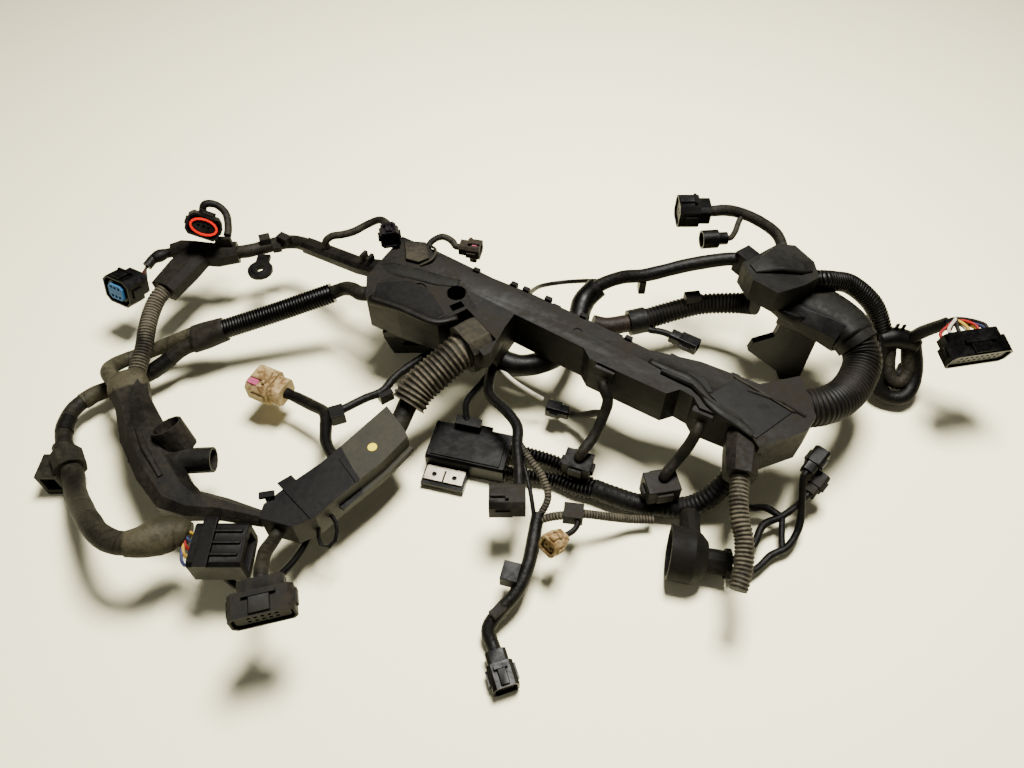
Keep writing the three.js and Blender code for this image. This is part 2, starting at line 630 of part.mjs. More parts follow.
function relayBox() {
  const body = loft([[-BOX_LENGTH / 2, 0, 0, BOX_WIDTH, BOX_HEIGHT], [BOX_LENGTH / 2, 0, 0, BOX_WIDTH, BOX_HEIGHT]],
    { corner: 0.1 });
  const lid = block(BOX_LENGTH - 8, BOX_WIDTH - 6, 3, [0, 0, BOX_HEIGHT / 2]);
  const shelf = block(36, 20, 5, [-14, -BOX_WIDTH / 2 - 8, -BOX_HEIGHT / 2 + 5]);
  const hinge = block(22, 5, 5, [4, BOX_WIDTH / 2 - 1, BOX_HEIGHT / 2 - 1]);
  return join(body, lid, shelf, hinge).rotateZ(THREE.MathUtils.degToRad(BOX_TURN))
    .translate(BOX_AT[0], BOX_AT[1], BOX_HEIGHT / 2);
}

function terminalPads() {
  const pads = [-22.5, -5.5].map((x) => block(15.5, 13, 1.6, [x, -BOX_WIDTH / 2 - 8, 0]));
  const bridge = block(32, 3, 1.6, [-14, -BOX_WIDTH / 2 - 2.6, 0]);
  const holes = [-22.5, -5.5].map((x) => drum([x, -BOX_WIDTH / 2 - 9, -2], [x, -BOX_WIDTH / 2 - 9, 2], 4.5, 8));
  return cut(join(...pads, bridge), ...holes).rotateZ(THREE.MathUtils.degToRad(BOX_TURN))
    .translate(BOX_AT[0], BOX_AT[1], 8.6 + GAP);
}

add('relay_box', relayBox(), 'black', 0.4);
add('terminal_pads', terminalPads(), 'metal', 0.35);
add('power_conduits', join(
  bellows([onBox(BOX_LENGTH / 2 + GAP, 8, 12), onBox(BOX_LENGTH / 2 + 14, 8, 12), [41, -93, 11], [58, -106, 10],
    [71, -117, 10]], POWER_CONDUIT_OUTER, 4.4, 1, 8),
  bellows([onBox(BOX_LENGTH / 2 + GAP, -11, 8), onBox(BOX_LENGTH / 2 + 14, -11, 8), [34, -105, 8], [52, -114, 8.5],
    [71, -119, 9]], POWER_CONDUIT_OUTER, 4.4, 1, 8),
  cord([[66, -115, 10], [82, -122, 10], [102, -129, 10], [140, -133, 14], [158, -128, 26], [170, -119, 40],
    [177, -111, 49], [178, -109, 54], [178, -109, 59.6]], POWER_TUBE_DIAMETER),
), 'black', 0.4);

// Branches from the front wall, each with its plug block on the conduits.
const SMALL_PLACE = pose([48, -48, 22], 161, 0);
add('branch_one', join(
  cord([[70.9, -60.2, 80], [71, -64, 78], [75, -70, 69], [72, -76, 56], [64, -88, 43], [56, -97, 38],
    [54, -99, 34.6], [54, -99, 30.7]], BRANCH_DIAMETER),
  cord([[73, -75, 58], [67, -67, 48], [60, -60, 36], [54, -52, 25], ...into(SMALL_PLACE, 2)], LEAD_DIAMETER),
), 'loom');
add('small_black_connector', plug({ length: 19, width: 13, height: 12, cavity: 7, latch: false }), 'black', 0.5,
  SMALL_PLACE);
add('branch_two', cord([[139.6, -101.4, 80], [138, -105, 79], [134, -109, 66], [127, -113, 51], [120, -119, 44],
  [117.5, -121.6, 41.5], [117.5, -121.6, 38]], BRANCH_DIAMETER), 'loom');

function plugBlock(at, size, turn) {
  const [x, y, z] = at;
  const [length, width, height] = size;
  return join(block(length, width, height, at, turn), block(length * 0.5, width + 5, height * 0.6, at, turn),
    block(length + 5, width * 0.5, height * 0.5, [x, y, z - height * 0.2], turn));
}

add('plug_block_one', plugBlock([53, -99.5, 23.8], [23, 17, 13], -20), 'black');
add('plug_block_two', plugBlock([116, -124, 29.6], [26, 20, 16], 10), 'grey');

// The looms that leave the trunk under its short arm, down to the four way connector
// and on to the lower connectors.
const FOUR_WAY_PLACE = pose([10, -149, 52], 180, 0);
const BOTTOM_PLACE = pose([-12, -246, 8], -72, 0);
const TWO_WAY_PLACE = pose([37, -172, 38], 222, 20);
const FORK = [4, -98, 55];
const SIDE_RUN = [[28, -155, 37], [38, -154, 38], [52, -151, 35], [76, -148, 24], [94, -145, 15], [110, -144, 12.5]];

add('centre_loom', join(
  cord([[-12, -4, 59.3], [-12, -4.3, 55], [-14, -13, 51], [-18, -28, 49], [-18, -50, 51], [-4, -70, 54], [4, -85, 55],
    [4, -104, 55], [5.2, -122, 54], [5.4, -130, 53], [5.4, -138.2, 53]], BRANCH_DIAMETER),
  cord([[-17, -24, 49.6], [-27, -35, 43], [-38, -48, 36], [-38, -58, 28], [-36, -62, 25]], LEAD_DIAMETER),
  block(22, 9, 7, [-36, -61.5, 25.6], BOX_TURN),
  cord([[-15, -16, 51], [0, -32, 47], [14, -37, 38], [26, -39, 29.5]], 3.6, 6),
  cord([FORK, [13, -114, 54], [23, -128, 50], [27, -142, 44], [22, -152, 38], [18, -158, 36]], LEAD_DIAMETER),
  cord([FORK, [10, -122, 51], [14, -140, 46], [17, -158, 36]], 3.4, 6),
  cord([[20, -152, 37.5], [18, -160, 35], [12, -189, 29], [3, -208, 23], [-10, -221, 17], [-17, -231, 12],
    ...into(BOTTOM_PLACE, 5)], 10.5),
  cord([[17, -158, 36], ...SIDE_RUN], 7),
  cord([[46, -152.6, 37], [49, -160, 38], [45, -167, 38.2], ...into(TWO_WAY_PLACE, 3)], 4.5, 6),
  block(15, 13, 11, [46, -152, 37], -8),
  block(13, 15, 12, [-1, -196, 27], -15),
  block(12, 7, 13, [-10, -221, 17], 40),
), 'loom');

add('four_way_connector', plug({ length: 27, width: 22, height: 20, cavity: 8, pins: [2, 2], rear: 0.95 }), 'grey', 0.6,
  FOUR_WAY_PLACE);
add('bottom_connector', plug({ length: 27, width: 19, height: 16, cavity: 9, latch: true }), 'black', 0.5,
  BOTTOM_PLACE);
add('two_way_connector', plug({ length: 17, width: 15, height: 14, cavity: 7, pins: [2, 1] }), 'beige', 0.6,
  TWO_WAY_PLACE);

// Lower right: corrugated drop branch, rubber cap and the thin leads with their plugs.
const BLACK_PLUG_PLACE = pose([227, -119, 42], 47, 8);
const RIBBED_PLUG_PLACE = pose([230, -130, 28], 47, 8);

add('drop_branch', bellows(DROP_BRANCH_ROUTE, DROP_BRANCH_OUTER, FINE_PITCH, FINE_DEPTH, 8), 'loom');

function rubberCap() {
  const radius = 21;
  const shell = loft([[144, -181, radius, 26, 26], [139, -180, radius, 36, 36],
    [134, -179, radius, 2 * radius, 2 * radius], [117, -175.6, radius, 2 * radius, 2 * radius]], { round: 16 });
  const hollow = loft([[122, -176.6, radius, 34, 34], [116, -175.4, radius, 37, 37]], { round: 16 });
  const neck = cord([[134, -176, 28], [134, -162, 27], [137, -150, 21], [138, -143.6, 17.5]], 16, 10);
  const nose = drum([143, -181, 19], [162, -184, 18], 19, 10);
  return cut(join(shell, neck, nose, drum([158, -183.4, 18], [162, -184, 18], 23, 10)), hollow);
}

add('rubber_cap', rubberCap(), 'dusty');
add('thin_leads', join(
  cord([[163.4, -187.4, 14], [169, -188.2, 12.5], [177, -187, 9], [186, -182, 8], [198, -172, 8], [211, -166, 10], [221, -153, 16],
    [224, -136, 28], [224, -126, 38], ...into(BLACK_PLUG_PLACE, 3)], LEAD_DIAMETER),
  cord([[163.4, -181.4, 21], [169, -181.6, 20.8], [183, -168, 18], [194, -151, 17], [209, -144, 17], [221, -137, 20],
    [226, -134, 25], ...into(RIBBED_PLUG_PLACE, 3)], LEAD_DIAMETER),
  cord([[170, -131.9, 32.2], [176, -138, 26], [186, -138, 21], [198, -137, 19], [209, -144, 17]], LEAD_DIAMETER),
  cord([[210, -144, 17], [208, -158, 12], [207, -170, 8]], 5),
  block(6, 12, 11, [169, -185, 17]),
), 'black');
add('black_plug', plug({ length: 23, width: 13, height: 12, cavity: 8, latch: false, pins: [2, 1] }), 'black', 0.5,
  BLACK_PLUG_PLACE);
add('ribbed_plug', plug({ length: 20, width: 13, height: 12, cavity: 7, latch: false }), 'grey', 0.6,
  RIBBED_PLUG_PLACE);

// Right side: the U shaped conduit, the two protectors, the outer tube and its loops.
const UPPER_OUTLINE = [
  [189, 36], [194, 16], [211, 1], [234, 10], [248, 19], [248, 37], [237, 57], [223, 59],
];
const UPPER_TOP = 116;
const UPPER_HEIGHT = 22;

function upperProtector() {
  const shell = channel(UPPER_OUTLINE, UPPER_TOP, UPPER_HEIGHT, TRUNK_WALL);
  const crown = loft([[196, 28, 116, 10, 3], [216, 36, 118, 26, 7], [236, 32, 117, 22, 5], [245, 29, 116, 10, 3]]);
  return join(shell, crown);
}

function lowerProtector() {
  const body = loft([[228, 22, 79.5, 32, 28], [248, 13, 80, 38, 27], [264, 2, 79.5, 40, 31],
    [274, -8, 79, 39, 33]], { corner: 0.3 });
  const mouth = cord([spot(pose([279.4, -13.5, 78.4], 0), 0), [274, -7, 79.6], [268, -1, 80]], U_TUBE_OUTER + 2 * BORE_CLEARANCE, 10);
  const scoop = loft([[216, 12, 88, 4, 8], [222, 6, 87, 6, 10], [232, 2, 86, 8, 10], [242, 2, 85, 6, 8]]);
  const gusset = new THREE.ExtrudeGeometry(new THREE.Shape([[226, 80], [262, 80], [262, 0], [244, 0],
    [238, 12], [206, 40], [208, 50], [224, 58]].map(([x, z]) => new THREE.Vector2(x, z))), {
    depth: 6, bevelEnabled: false,
  }).rotateX(Math.PI / 2).translate(0, 12, 0);
  return join(cut(join(body, scoop), mouth), gusset);
}

add('upper_protector', upperProtector(), 'trough');
add('lower_protector', lowerProtector(), 'black');
add('u_tube', bellows(U_TUBE_ROUTE, U_TUBE_OUTER, FINE_PITCH, FINE_DEPTH, 12), 'conduit');
const WIDE_PLACE = pose([366, -18, 88], -80, -12);
add('right_loops', join(
  bellows([[248.6, 28, 104], [256, 28.3, 103.6], [268, 32, 99], [286, 36, 91], [310, 29, 73], [322, 17, 52],
    [326, 8, 38]], OUTER_TUBE_OUTER, FINE_PITCH, FINE_DEPTH, 8),
  cord([[325.5, 9, 40], [325, 0, 26], [327, -12, 13], [337, -20, 6], [348, -14, 7], [352, -2, 16],
    [349, 8, 32], [344, 10, 48], [346, 6, 62], [352, 2, 74], [358, -2, 84]], 11),
  cord([[325, -2, 22], [333, -8, 22], [341, -6, 22], [347, 2, 24]], 9),
  ...[-17, -10, -3, 4, 11, 18].map((y) => cord([[354, 1, 78], [360, -4, 90 + Math.abs(y) * 0.1],
    spot(WIDE_PLACE, -5, y), spot(WIDE_PLACE, -GAP, y)], WIRE_DIAMETER, 6)),
), 'black');

add('wide_black_connector', plug({ length: 23, width: 52, height: 19, cavity: 9, pins: [8, 2], rear: 0.9 }),
  'black', 0.5, WIDE_PLACE);

// Top right: the square and round connectors, the top loom, the joint clamp and the tubes.
const SQUARE_PLACE = pose([168, 90, 125], 180, 0);
const ROUND_PLACE = pose([182, 68, 114], 185, 0);
const SMALL_SIDE_PLACE = pose([141, 24, 40], -33, 0);
add('square_connector', plug({ length: 27, width: 24, height: 22, cavity: 10, pins: [2, 1] }), 'black', 0.6,
  SQUARE_PLACE);
function roundConnector() {
  const body = loft([[0, 0, 0, 11, 11], [8, 0, 0, 11, 11], [8.2, 0, 0, 16, 16], [22, 0, 0, 16, 16]], { round: 12 });
  return cut(body, drum([13, 0, 0], [23, 0, 0], 12.6, 12));
}
add('round_connector', roundConnector(), 'black', 0.5, ROUND_PLACE);
add('top_loom', join(
  cord([[230.1, 58.9, 105], [231, 65, 105.4], [227, 76, 111], [211, 86, 118], [194, 92, 122], [181, 91, 125],
    ...into(SQUARE_PLACE, 4)], 10),
  cord([[198, 91, 121], [194, 84, 118], [190, 75, 115], ...into(ROUND_PLACE, 3)], 5, 6),
), 'dusty');
add('back_tube', join(
  block(15, 13, 21, [196, 49, 105], 34),
  cord([[192, 51, 106], [182, 53, 104], [153, 55, 96], [114, 54, 84], [97, 60, 76], [78, 60, 66], [66, 54, 58]],
    BACK_TUBE_DIAMETER),
  cord([[76, 60, 64], [64, 50, 56], [56, 24, 49.6], [42, -4, 49.4], [22, -16, 49.4], [2, -18, 49.4]],
    SLEEVE_DIAMETER),
  block(6, 10, 14, [114, 54, 73], 0),
  cord([[88, 60, 71], [66, 80, 52], [45, 88, 42], [28, 80, 46], [17, 56, 62], [12.5, 35, 76], [8.2, 27, 78]], 4, 6),
), 'black', 0.6);
add('side_conduit', join(
  bellows([[118, 38, 45], [135, 44, 46], [169, 51, 51], [200, 44, 60], [211.5, 35, 68]], SIDE_CONDUIT_OUTER,
    FINE_PITCH, FINE_DEPTH, 10),
  drum([104, 35, 44], [119, 38.3, 45], 23, 12),
  cord([[71.7, 34, 44.5], [84, 33, 42], [106, 35.4, 44]], 16),
  block(14, 9, 8, [160, 50, 61], 8),
  cord([[118, 32, 42], [124, 29, 41], [130, 29, 40], ...into(SMALL_SIDE_PLACE, 4)], LEAD_DIAMETER),
), 'conduit');
add('small_connector', plug({ length: 26, width: 14, height: 12, cavity: 8, latch: false }), 'black', 0.5,
  SMALL_SIDE_PLACE);

export default harness;
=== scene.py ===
# %% [markdown]
# # Wiring harness
# The harness is a moulded channel with taped looms, ribbed conduits and plugs that branch from it.
# Its solids already exist, so the scene could either dress them or start afresh. It starts from
# them, because then every piece keeps its real size and place. Everything is in metres in their
# frame, and the routes are written in millimetres as the part's source has them.

# %% Load the frame
import math

import bmesh
import bpy
from mathutils import Matrix, Vector


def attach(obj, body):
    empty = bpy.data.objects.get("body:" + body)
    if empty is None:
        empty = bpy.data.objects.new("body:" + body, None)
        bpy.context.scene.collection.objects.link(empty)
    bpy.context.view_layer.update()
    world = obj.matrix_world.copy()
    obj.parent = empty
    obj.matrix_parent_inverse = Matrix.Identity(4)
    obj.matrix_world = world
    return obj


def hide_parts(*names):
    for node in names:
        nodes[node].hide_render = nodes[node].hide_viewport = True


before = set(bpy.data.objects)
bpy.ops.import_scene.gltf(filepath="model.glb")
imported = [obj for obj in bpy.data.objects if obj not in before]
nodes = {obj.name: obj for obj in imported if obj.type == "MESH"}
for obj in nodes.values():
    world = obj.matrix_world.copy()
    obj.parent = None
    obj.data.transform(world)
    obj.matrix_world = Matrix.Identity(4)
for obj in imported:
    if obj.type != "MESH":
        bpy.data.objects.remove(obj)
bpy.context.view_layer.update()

CENTRE = (8, -68)  # the point of the source that lies at the frame's origin
TONE = 2.9  # the power from shown to surface brightness, found by comparing renders
scene = bpy.context.scene


def metres(point):
    """A point of the source as a vector of the frame."""
    return Vector(((point[0] - CENTRE[0]) / 1000, (point[1] - CENTRE[1]) / 1000, point[2] / 1000))


def seen(red, green, blue, gain=0.3, purity=0.6):
    """The surface colour that shows as this colour, 0 to 255, in the scene's light."""
    mean = (red + green + blue) / 3
    shown = (mean + purity * (c - mean) for c in (red, green, blue))
    return tuple(gain * (c / 255) ** TONE for c in shown) + (1.0,)


def bright(red, green, blue):
    """The same for the few clean, pale or coloured pieces."""
    return seen(red, green, blue, gain=0.5, purity=1.0)


def link(name, data):
    """A new object of the scene with this data."""
    obj = bpy.data.objects.new(name, data)
    scene.collection.objects.link(obj)
    return obj


print("nodes loaded:", len(nodes))

# %% [markdown]
# ## Camera
# The photograph was taken by a person who stood over the harness with a wide lens. A camera could
# be aimed by eye, but fixed numbers let each render be compared with the photograph, so the lens
# looks down at 52 degrees from a written place.

# %% Camera
LENS = 27.07
SENSOR_WIDTH = 36
CAMERA_AT = (0, -431, 552)
LOOK_DOWN = 52
camera_data = bpy.data.cameras.new("camera")
camera_data.lens = LENS
camera_data.sensor_width = SENSOR_WIDTH
camera = link("camera", camera_data)
camera.location = metres(CAMERA_AT)
camera.rotation_euler = (math.radians(90 - LOOK_DOWN), 0, 0)
scene.camera = camera
print("camera at", tuple(round(c, 3) for c in camera.location))

# %% [markdown]
# ## Shader groups
# A used harness carries settled dust, a moulded grain and turns of tape. Each could be painted into
# every material, but the same effect would then be built many times. Here each is one group that
# puts out masks and normals, and the materials mix their own colours with them.

# %% Shader groups
def group(name, title, default, **outputs):
    """A shader group over a vector and one value, with its input and output nodes."""
    tree = bpy.data.node_groups.new(name, "ShaderNodeTree")
    tree.interface.new_socket("Vector", in_out="INPUT", socket_type="NodeSocketVector")
    value = tree.interface.new_socket(title, in_out="INPUT", socket_type="NodeSocketFloat")
    value.default_value = default
    for output, kind in outputs.items():
        tree.interface.new_socket(output, in_out="OUTPUT", socket_type="NodeSocket" + kind)
    return tree, tree.nodes.new("NodeGroupInput"), tree.nodes.new("NodeGroupOutput")


def closed(tree, end, *results):
    """The group with its results linked to its outputs."""
    for index, result in enumerate(results):
        tree.links.new(result, end.inputs[index])
    return tree


def node(tree, kind, links=(), **values):
    """One node with its settings, its socket values and its incoming links."""
    made = tree.nodes.new(kind)
    for key, value in values.items():
        if key.startswith("in_"):
            made.inputs[int(key[3:])].default_value = value
        else:
            setattr(made, key, value)
    for index, source in links:
        tree.links.new(source, made.inputs[index])
    return made


def maths(tree, operation, a, b=None, clamp=False):
    """The result of one math node, whose operands are numbers or sockets."""
    made = node(tree, "ShaderNodeMath", operation=operation, use_clamp=clamp)
    for index, value in enumerate((a, b)):
        if isinstance(value, (int, float)):
            made.inputs[index].default_value = value
        elif value is not None:
            tree.links.new(value, made.inputs[index])
    return made.outputs[0]


def noise(tree, vector, scale, detail, rough=0.5):
    """The value of a noise texture, about 0.5 on average."""
    made = node(tree, "ShaderNodeTexNoise", [(0, vector)])
    made.inputs["Scale"].default_value = scale
    made.inputs["Detail"].default_value = detail
    made.inputs["Roughness"].default_value = rough
    return made.outputs["Fac"]


def ramp(tree, value, low, high):
    """The value, stretched smoothly so that low becomes 0 and high becomes 1."""
    return node(tree, "ShaderNodeMapRange", [(0, value)], in_1=low, in_2=high,
                interpolation_type="SMOOTHSTEP").outputs[0]


def dust_group():
    """Settled dust: patchy, thicker on what faces up, and speckled."""
    tree, start, end = group("Settled dust", "Amount", 0.5, Mask="Float", Speckle="Float")
    vector = start.outputs[0]
    facing = node(tree, "ShaderNodeNewGeometry")
    split = node(tree, "ShaderNodeSeparateXYZ", [(0, facing.outputs["Normal"])])
    up = ramp(tree, split.outputs[2], low=-0.5, high=1.0)
    broad = ramp(tree, noise(tree, vector, scale=22, detail=4, rough=0.6), low=0.32, high=0.7)
    fine = ramp(tree, noise(tree, vector, scale=240, detail=4, rough=0.65), low=0.38, high=0.66)
    patches = maths(tree, "MULTIPLY", broad, maths(tree, "ADD", fine, 0.55))
    settled = maths(tree, "MULTIPLY", patches, maths(tree, "ADD", up, 0.35))
    mask = maths(tree, "MULTIPLY", settled, start.outputs[1], clamp=True)
    speckle = ramp(tree, noise(tree, vector, scale=1500, detail=2), low=0.64, high=0.72)
    return closed(tree, end, mask, speckle)


def grain_group():
    """Fine moulded grain with a little waviness, as a normal."""
    tree, start, end = group("Moulded grain", "Strength", 0.3, Normal="Vector", Scuff="Float")
    fine = noise(tree, start.outputs[0], scale=1700, detail=3, rough=0.6)
    wavy = noise(tree, start.outputs[0], scale=90, detail=2)
    fine_height = maths(tree, "MULTIPLY", fine, 0.35)
    wavy_height = maths(tree, "MULTIPLY", wavy, 1.4)
    height = maths(tree, "ADD", fine_height, wavy_height)
    bump = node(tree, "ShaderNodeBump")
    bump.inputs["Distance"].default_value = 0.0006
    tree.links.new(start.outputs[1], bump.inputs["Strength"])
    tree.links.new(height, bump.inputs["Height"])
    stretched = node(tree, "ShaderNodeMapping", [(0, start.outputs[0])])
    stretched.inputs["Scale"].default_value = (1, 9, 4)
    stretched.inputs["Rotation"].default_value = (0.3, 0.5, 0.7)
    streaks = noise(tree, stretched.outputs[0], scale=130, detail=5, rough=0.7)
    scuff = ramp(tree, streaks, low=0.6, high=0.72)
    return closed(tree, end, bump.outputs[0], scuff)


def turns_group():
    """Tape wound round a loom in a spiral: each turn overlaps the last with a soft edge."""
    # Its Shade and Edge masks are used to paint shade across each turn and along its edge.
    tree, start, end = group("Tape turns", "Pitch", 0.011, Edge="Float", Shade="Float",
                             Normal="Vector")
    run = node(tree, "ShaderNodeAttribute", attribute_name="run").outputs["Fac"]
    ring = node(tree, "ShaderNodeAttribute", attribute_name="ring")
    split = node(tree, "ShaderNodeSeparateXYZ", [(0, ring.outputs["Vector"])])
    angle = maths(tree, "ARCTAN2", split.outputs[1], split.outputs[0])
    wobble = maths(tree, "MULTIPLY", noise(tree, start.outputs[0], scale=60, detail=2), 0.35)
    phase = maths(tree, "ADD", maths(tree, "DIVIDE", run, start.outputs[1]),
                  maths(tree, "MULTIPLY", angle, 1 / (2 * math.pi)))
    turn = maths(tree, "FRACT", maths(tree, "ADD", phase, wobble))
    rise = ramp(tree, turn, low=0.9, high=0.97)
    fall = ramp(tree, turn, low=1.0, high=0.985)
    edge = maths(tree, "MULTIPLY", rise, fall)
    wrinkle = noise(tree, start.outputs[0], scale=420, detail=3, rough=0.6)
    height = maths(tree, "ADD", turn, maths(tree, "MULTIPLY", wrinkle, 0.55))
    bump = node(tree, "ShaderNodeBump")
    bump.inputs["Strength"].default_value = 1.0
    bump.inputs["Distance"].default_value = 0.0009
    tree.links.new(height, bump.inputs["Height"])
    return closed(tree, end, edge, turn, bump.outputs[0])


DUST = dust_group()
GRAIN = grain_group()
TURNS = turns_group()
print("shader groups:", [g.name for g in (DUST, GRAIN, TURNS)])

# %% [markdown]
# ## Materials
# The real pieces are moulded plastic, corrugated conduit, wound cloth tape, rubber and a little
# plated metal. One function stands for each kind, with a base colour, a dust colour and an amount,
# because the pieces differ in how dirty and how worn they are more than in what they are made of.

# %% Materials
SHEEN = 0.09  # dusty plastic mirrors little
DUST_ROUGHNESS = 0.9
PALE_DUST = seen(110, 100, 84)


def blank(name):
    """A new material, its nodes, its shader and the place on the object."""
    material = bpy.data.materials.new(name)
    material.use_nodes = True
    tree = material.node_tree
    shader = tree.nodes["Principled BSDF"]
    shader.inputs["Specular IOR Level"].default_value = SHEEN
    place = node(tree, "ShaderNodeTexCoord").outputs["Object"]
    return material, tree, shader, place


def use(tree, source, place, **values):
    """One of the shader groups, over the place on the object, with its value by name."""
    made = node(tree, "ShaderNodeGroup", [(0, place)], node_tree=source)
    for title, value in values.items():
        made.inputs[title].default_value = value
    return made


def shade(colour, gain, lift=0.0):
    """The colour made paler or darker."""
    return tuple(min(1, c * gain + lift) for c in colour[:3]) + (1,)


def blend(tree, factor, a, b):
    """The colour between two colours or sockets."""
    made = tree.nodes.new("ShaderNodeMix")
    made.data_type = "RGBA"
    tree.links.new(factor, made.inputs["Factor"])
    for index, value in ((6, a), (7, b)):
        if isinstance(value, tuple):
            made.inputs[index].default_value = value
        else:
            tree.links.new(value, made.inputs[index])
    return made.outputs[2]


def connect(tree, shader, colour, matt, rough, surface):
    """Links a colour, a roughness that a mask adds to, and a group's normal to the shader."""
    tree.links.new(colour, shader.inputs["Base Color"])
    tree.links.new(maths(tree, "ADD", matt, rough), shader.inputs["Roughness"])
    tree.links.new(surface.outputs["Normal"], shader.inputs["Normal"])


def plastic(name, base, dust, amount=0.6, rough=0.45, grain=0.35, scuffed=0.35):
    """Moulded plastic with settled dust, pale scuffs and a fine grain."""
    material, tree, shader, place = blank(name)
    settled = use(tree, DUST, place, Amount=amount)
    surface = use(tree, GRAIN, place, Strength=grain)
    scuff = maths(tree, "MULTIPLY", surface.outputs["Scuff"], scuffed)
    pale = shade(dust, gain=2.2, lift=0.004)
    worn = blend(tree, scuff, base, pale)
    coated = blend(tree, settled.outputs["Mask"], worn, dust)
    speck = maths(tree, "MULTIPLY", settled.outputs["Speckle"], amount * 0.6)
    matt = maths(tree, "MULTIPLY", settled.outputs["Mask"], DUST_ROUGHNESS - rough)
    connect(tree, shader, blend(tree, speck, coated, pale), matt, rough, surface)
    return material


def corrugated(name, base, dust, amount=0.8, rough=0.5):
    """Corrugated conduit: dust with a painted highlight on crests, painted shade in grooves."""
    material, tree, shader, place = blank(name)
    settled = use(tree, DUST, place, Amount=amount)
    surface = use(tree, GRAIN, place, Strength=0.3)
    crest = node(tree, "ShaderNodeAttribute", attribute_name="crest").outputs["Fac"]
    # Dust lies mostly on the crests, where it also paints their highlight.
    top = ramp(tree, crest, low=0.35, high=0.95)
    crest_highlight_and_dust = maths(tree, "ADD", top, 0.25)
    mask = maths(tree, "MULTIPLY", settled.outputs["Mask"], crest_highlight_and_dust, clamp=True)
    # Painted shade: the grooves are darkened to 0.35 of the base colour.
    clean = blend(tree, top, shade(base, gain=0.35), base)
    matt = maths(tree, "MULTIPLY", mask, 0.35)
    connect(tree, shader, blend(tree, mask, clean, dust), matt, rough, surface)
    return material


def wound(name, base, dust, amount=0.9, pitch=0.011, rough=0.62):
    """Cloth or plastic tape wound round a loom; each turn and its edge get painted shade."""
    material, tree, shader, place = blank(name)
    settled = use(tree, DUST, place, Amount=amount)
    turns = use(tree, TURNS, place, Pitch=pitch)
    # Painted shade: each turn darkens across its width towards its edge.
    shadow = maths(tree, "MULTIPLY", turns.outputs["Shade"], 0.35)
    dark = shade(base, gain=0.5)
    cloth = blend(tree, shadow, base, dark)
    dirty = blend(tree, settled.outputs["Mask"], cloth, dust)
    # Painted shade: a dark line along the edge where each turn overlaps the last.
    edge = maths(tree, "MULTIPLY", turns.outputs["Edge"], 0.8)
    tree.links.new(blend(tree, edge, dirty, dark), shader.inputs["Base Color"])
    shader.inputs["Roughness"].default_value = rough
    tree.links.new(turns.outputs["Normal"], shader.inputs["Normal"])
    return material


def metal(name, colour, rough=0.35):
    """Plated metal that dust dulls."""
    material, tree, shader, place = blank(name)
    settled = use(tree, DUST, place, Amount=0.6)
    surface = use(tree, GRAIN, place, Strength=0.25)
    shader.inputs["Metallic"].default_value = 0.9
    dulled = blend(tree, settled.outputs["Mask"], colour, PALE_DUST)
    matt = maths(tree, "MULTIPLY", settled.outputs["Mask"], 0.4)
    connect(tree, shader, dulled, matt, rough, surface)
    return material


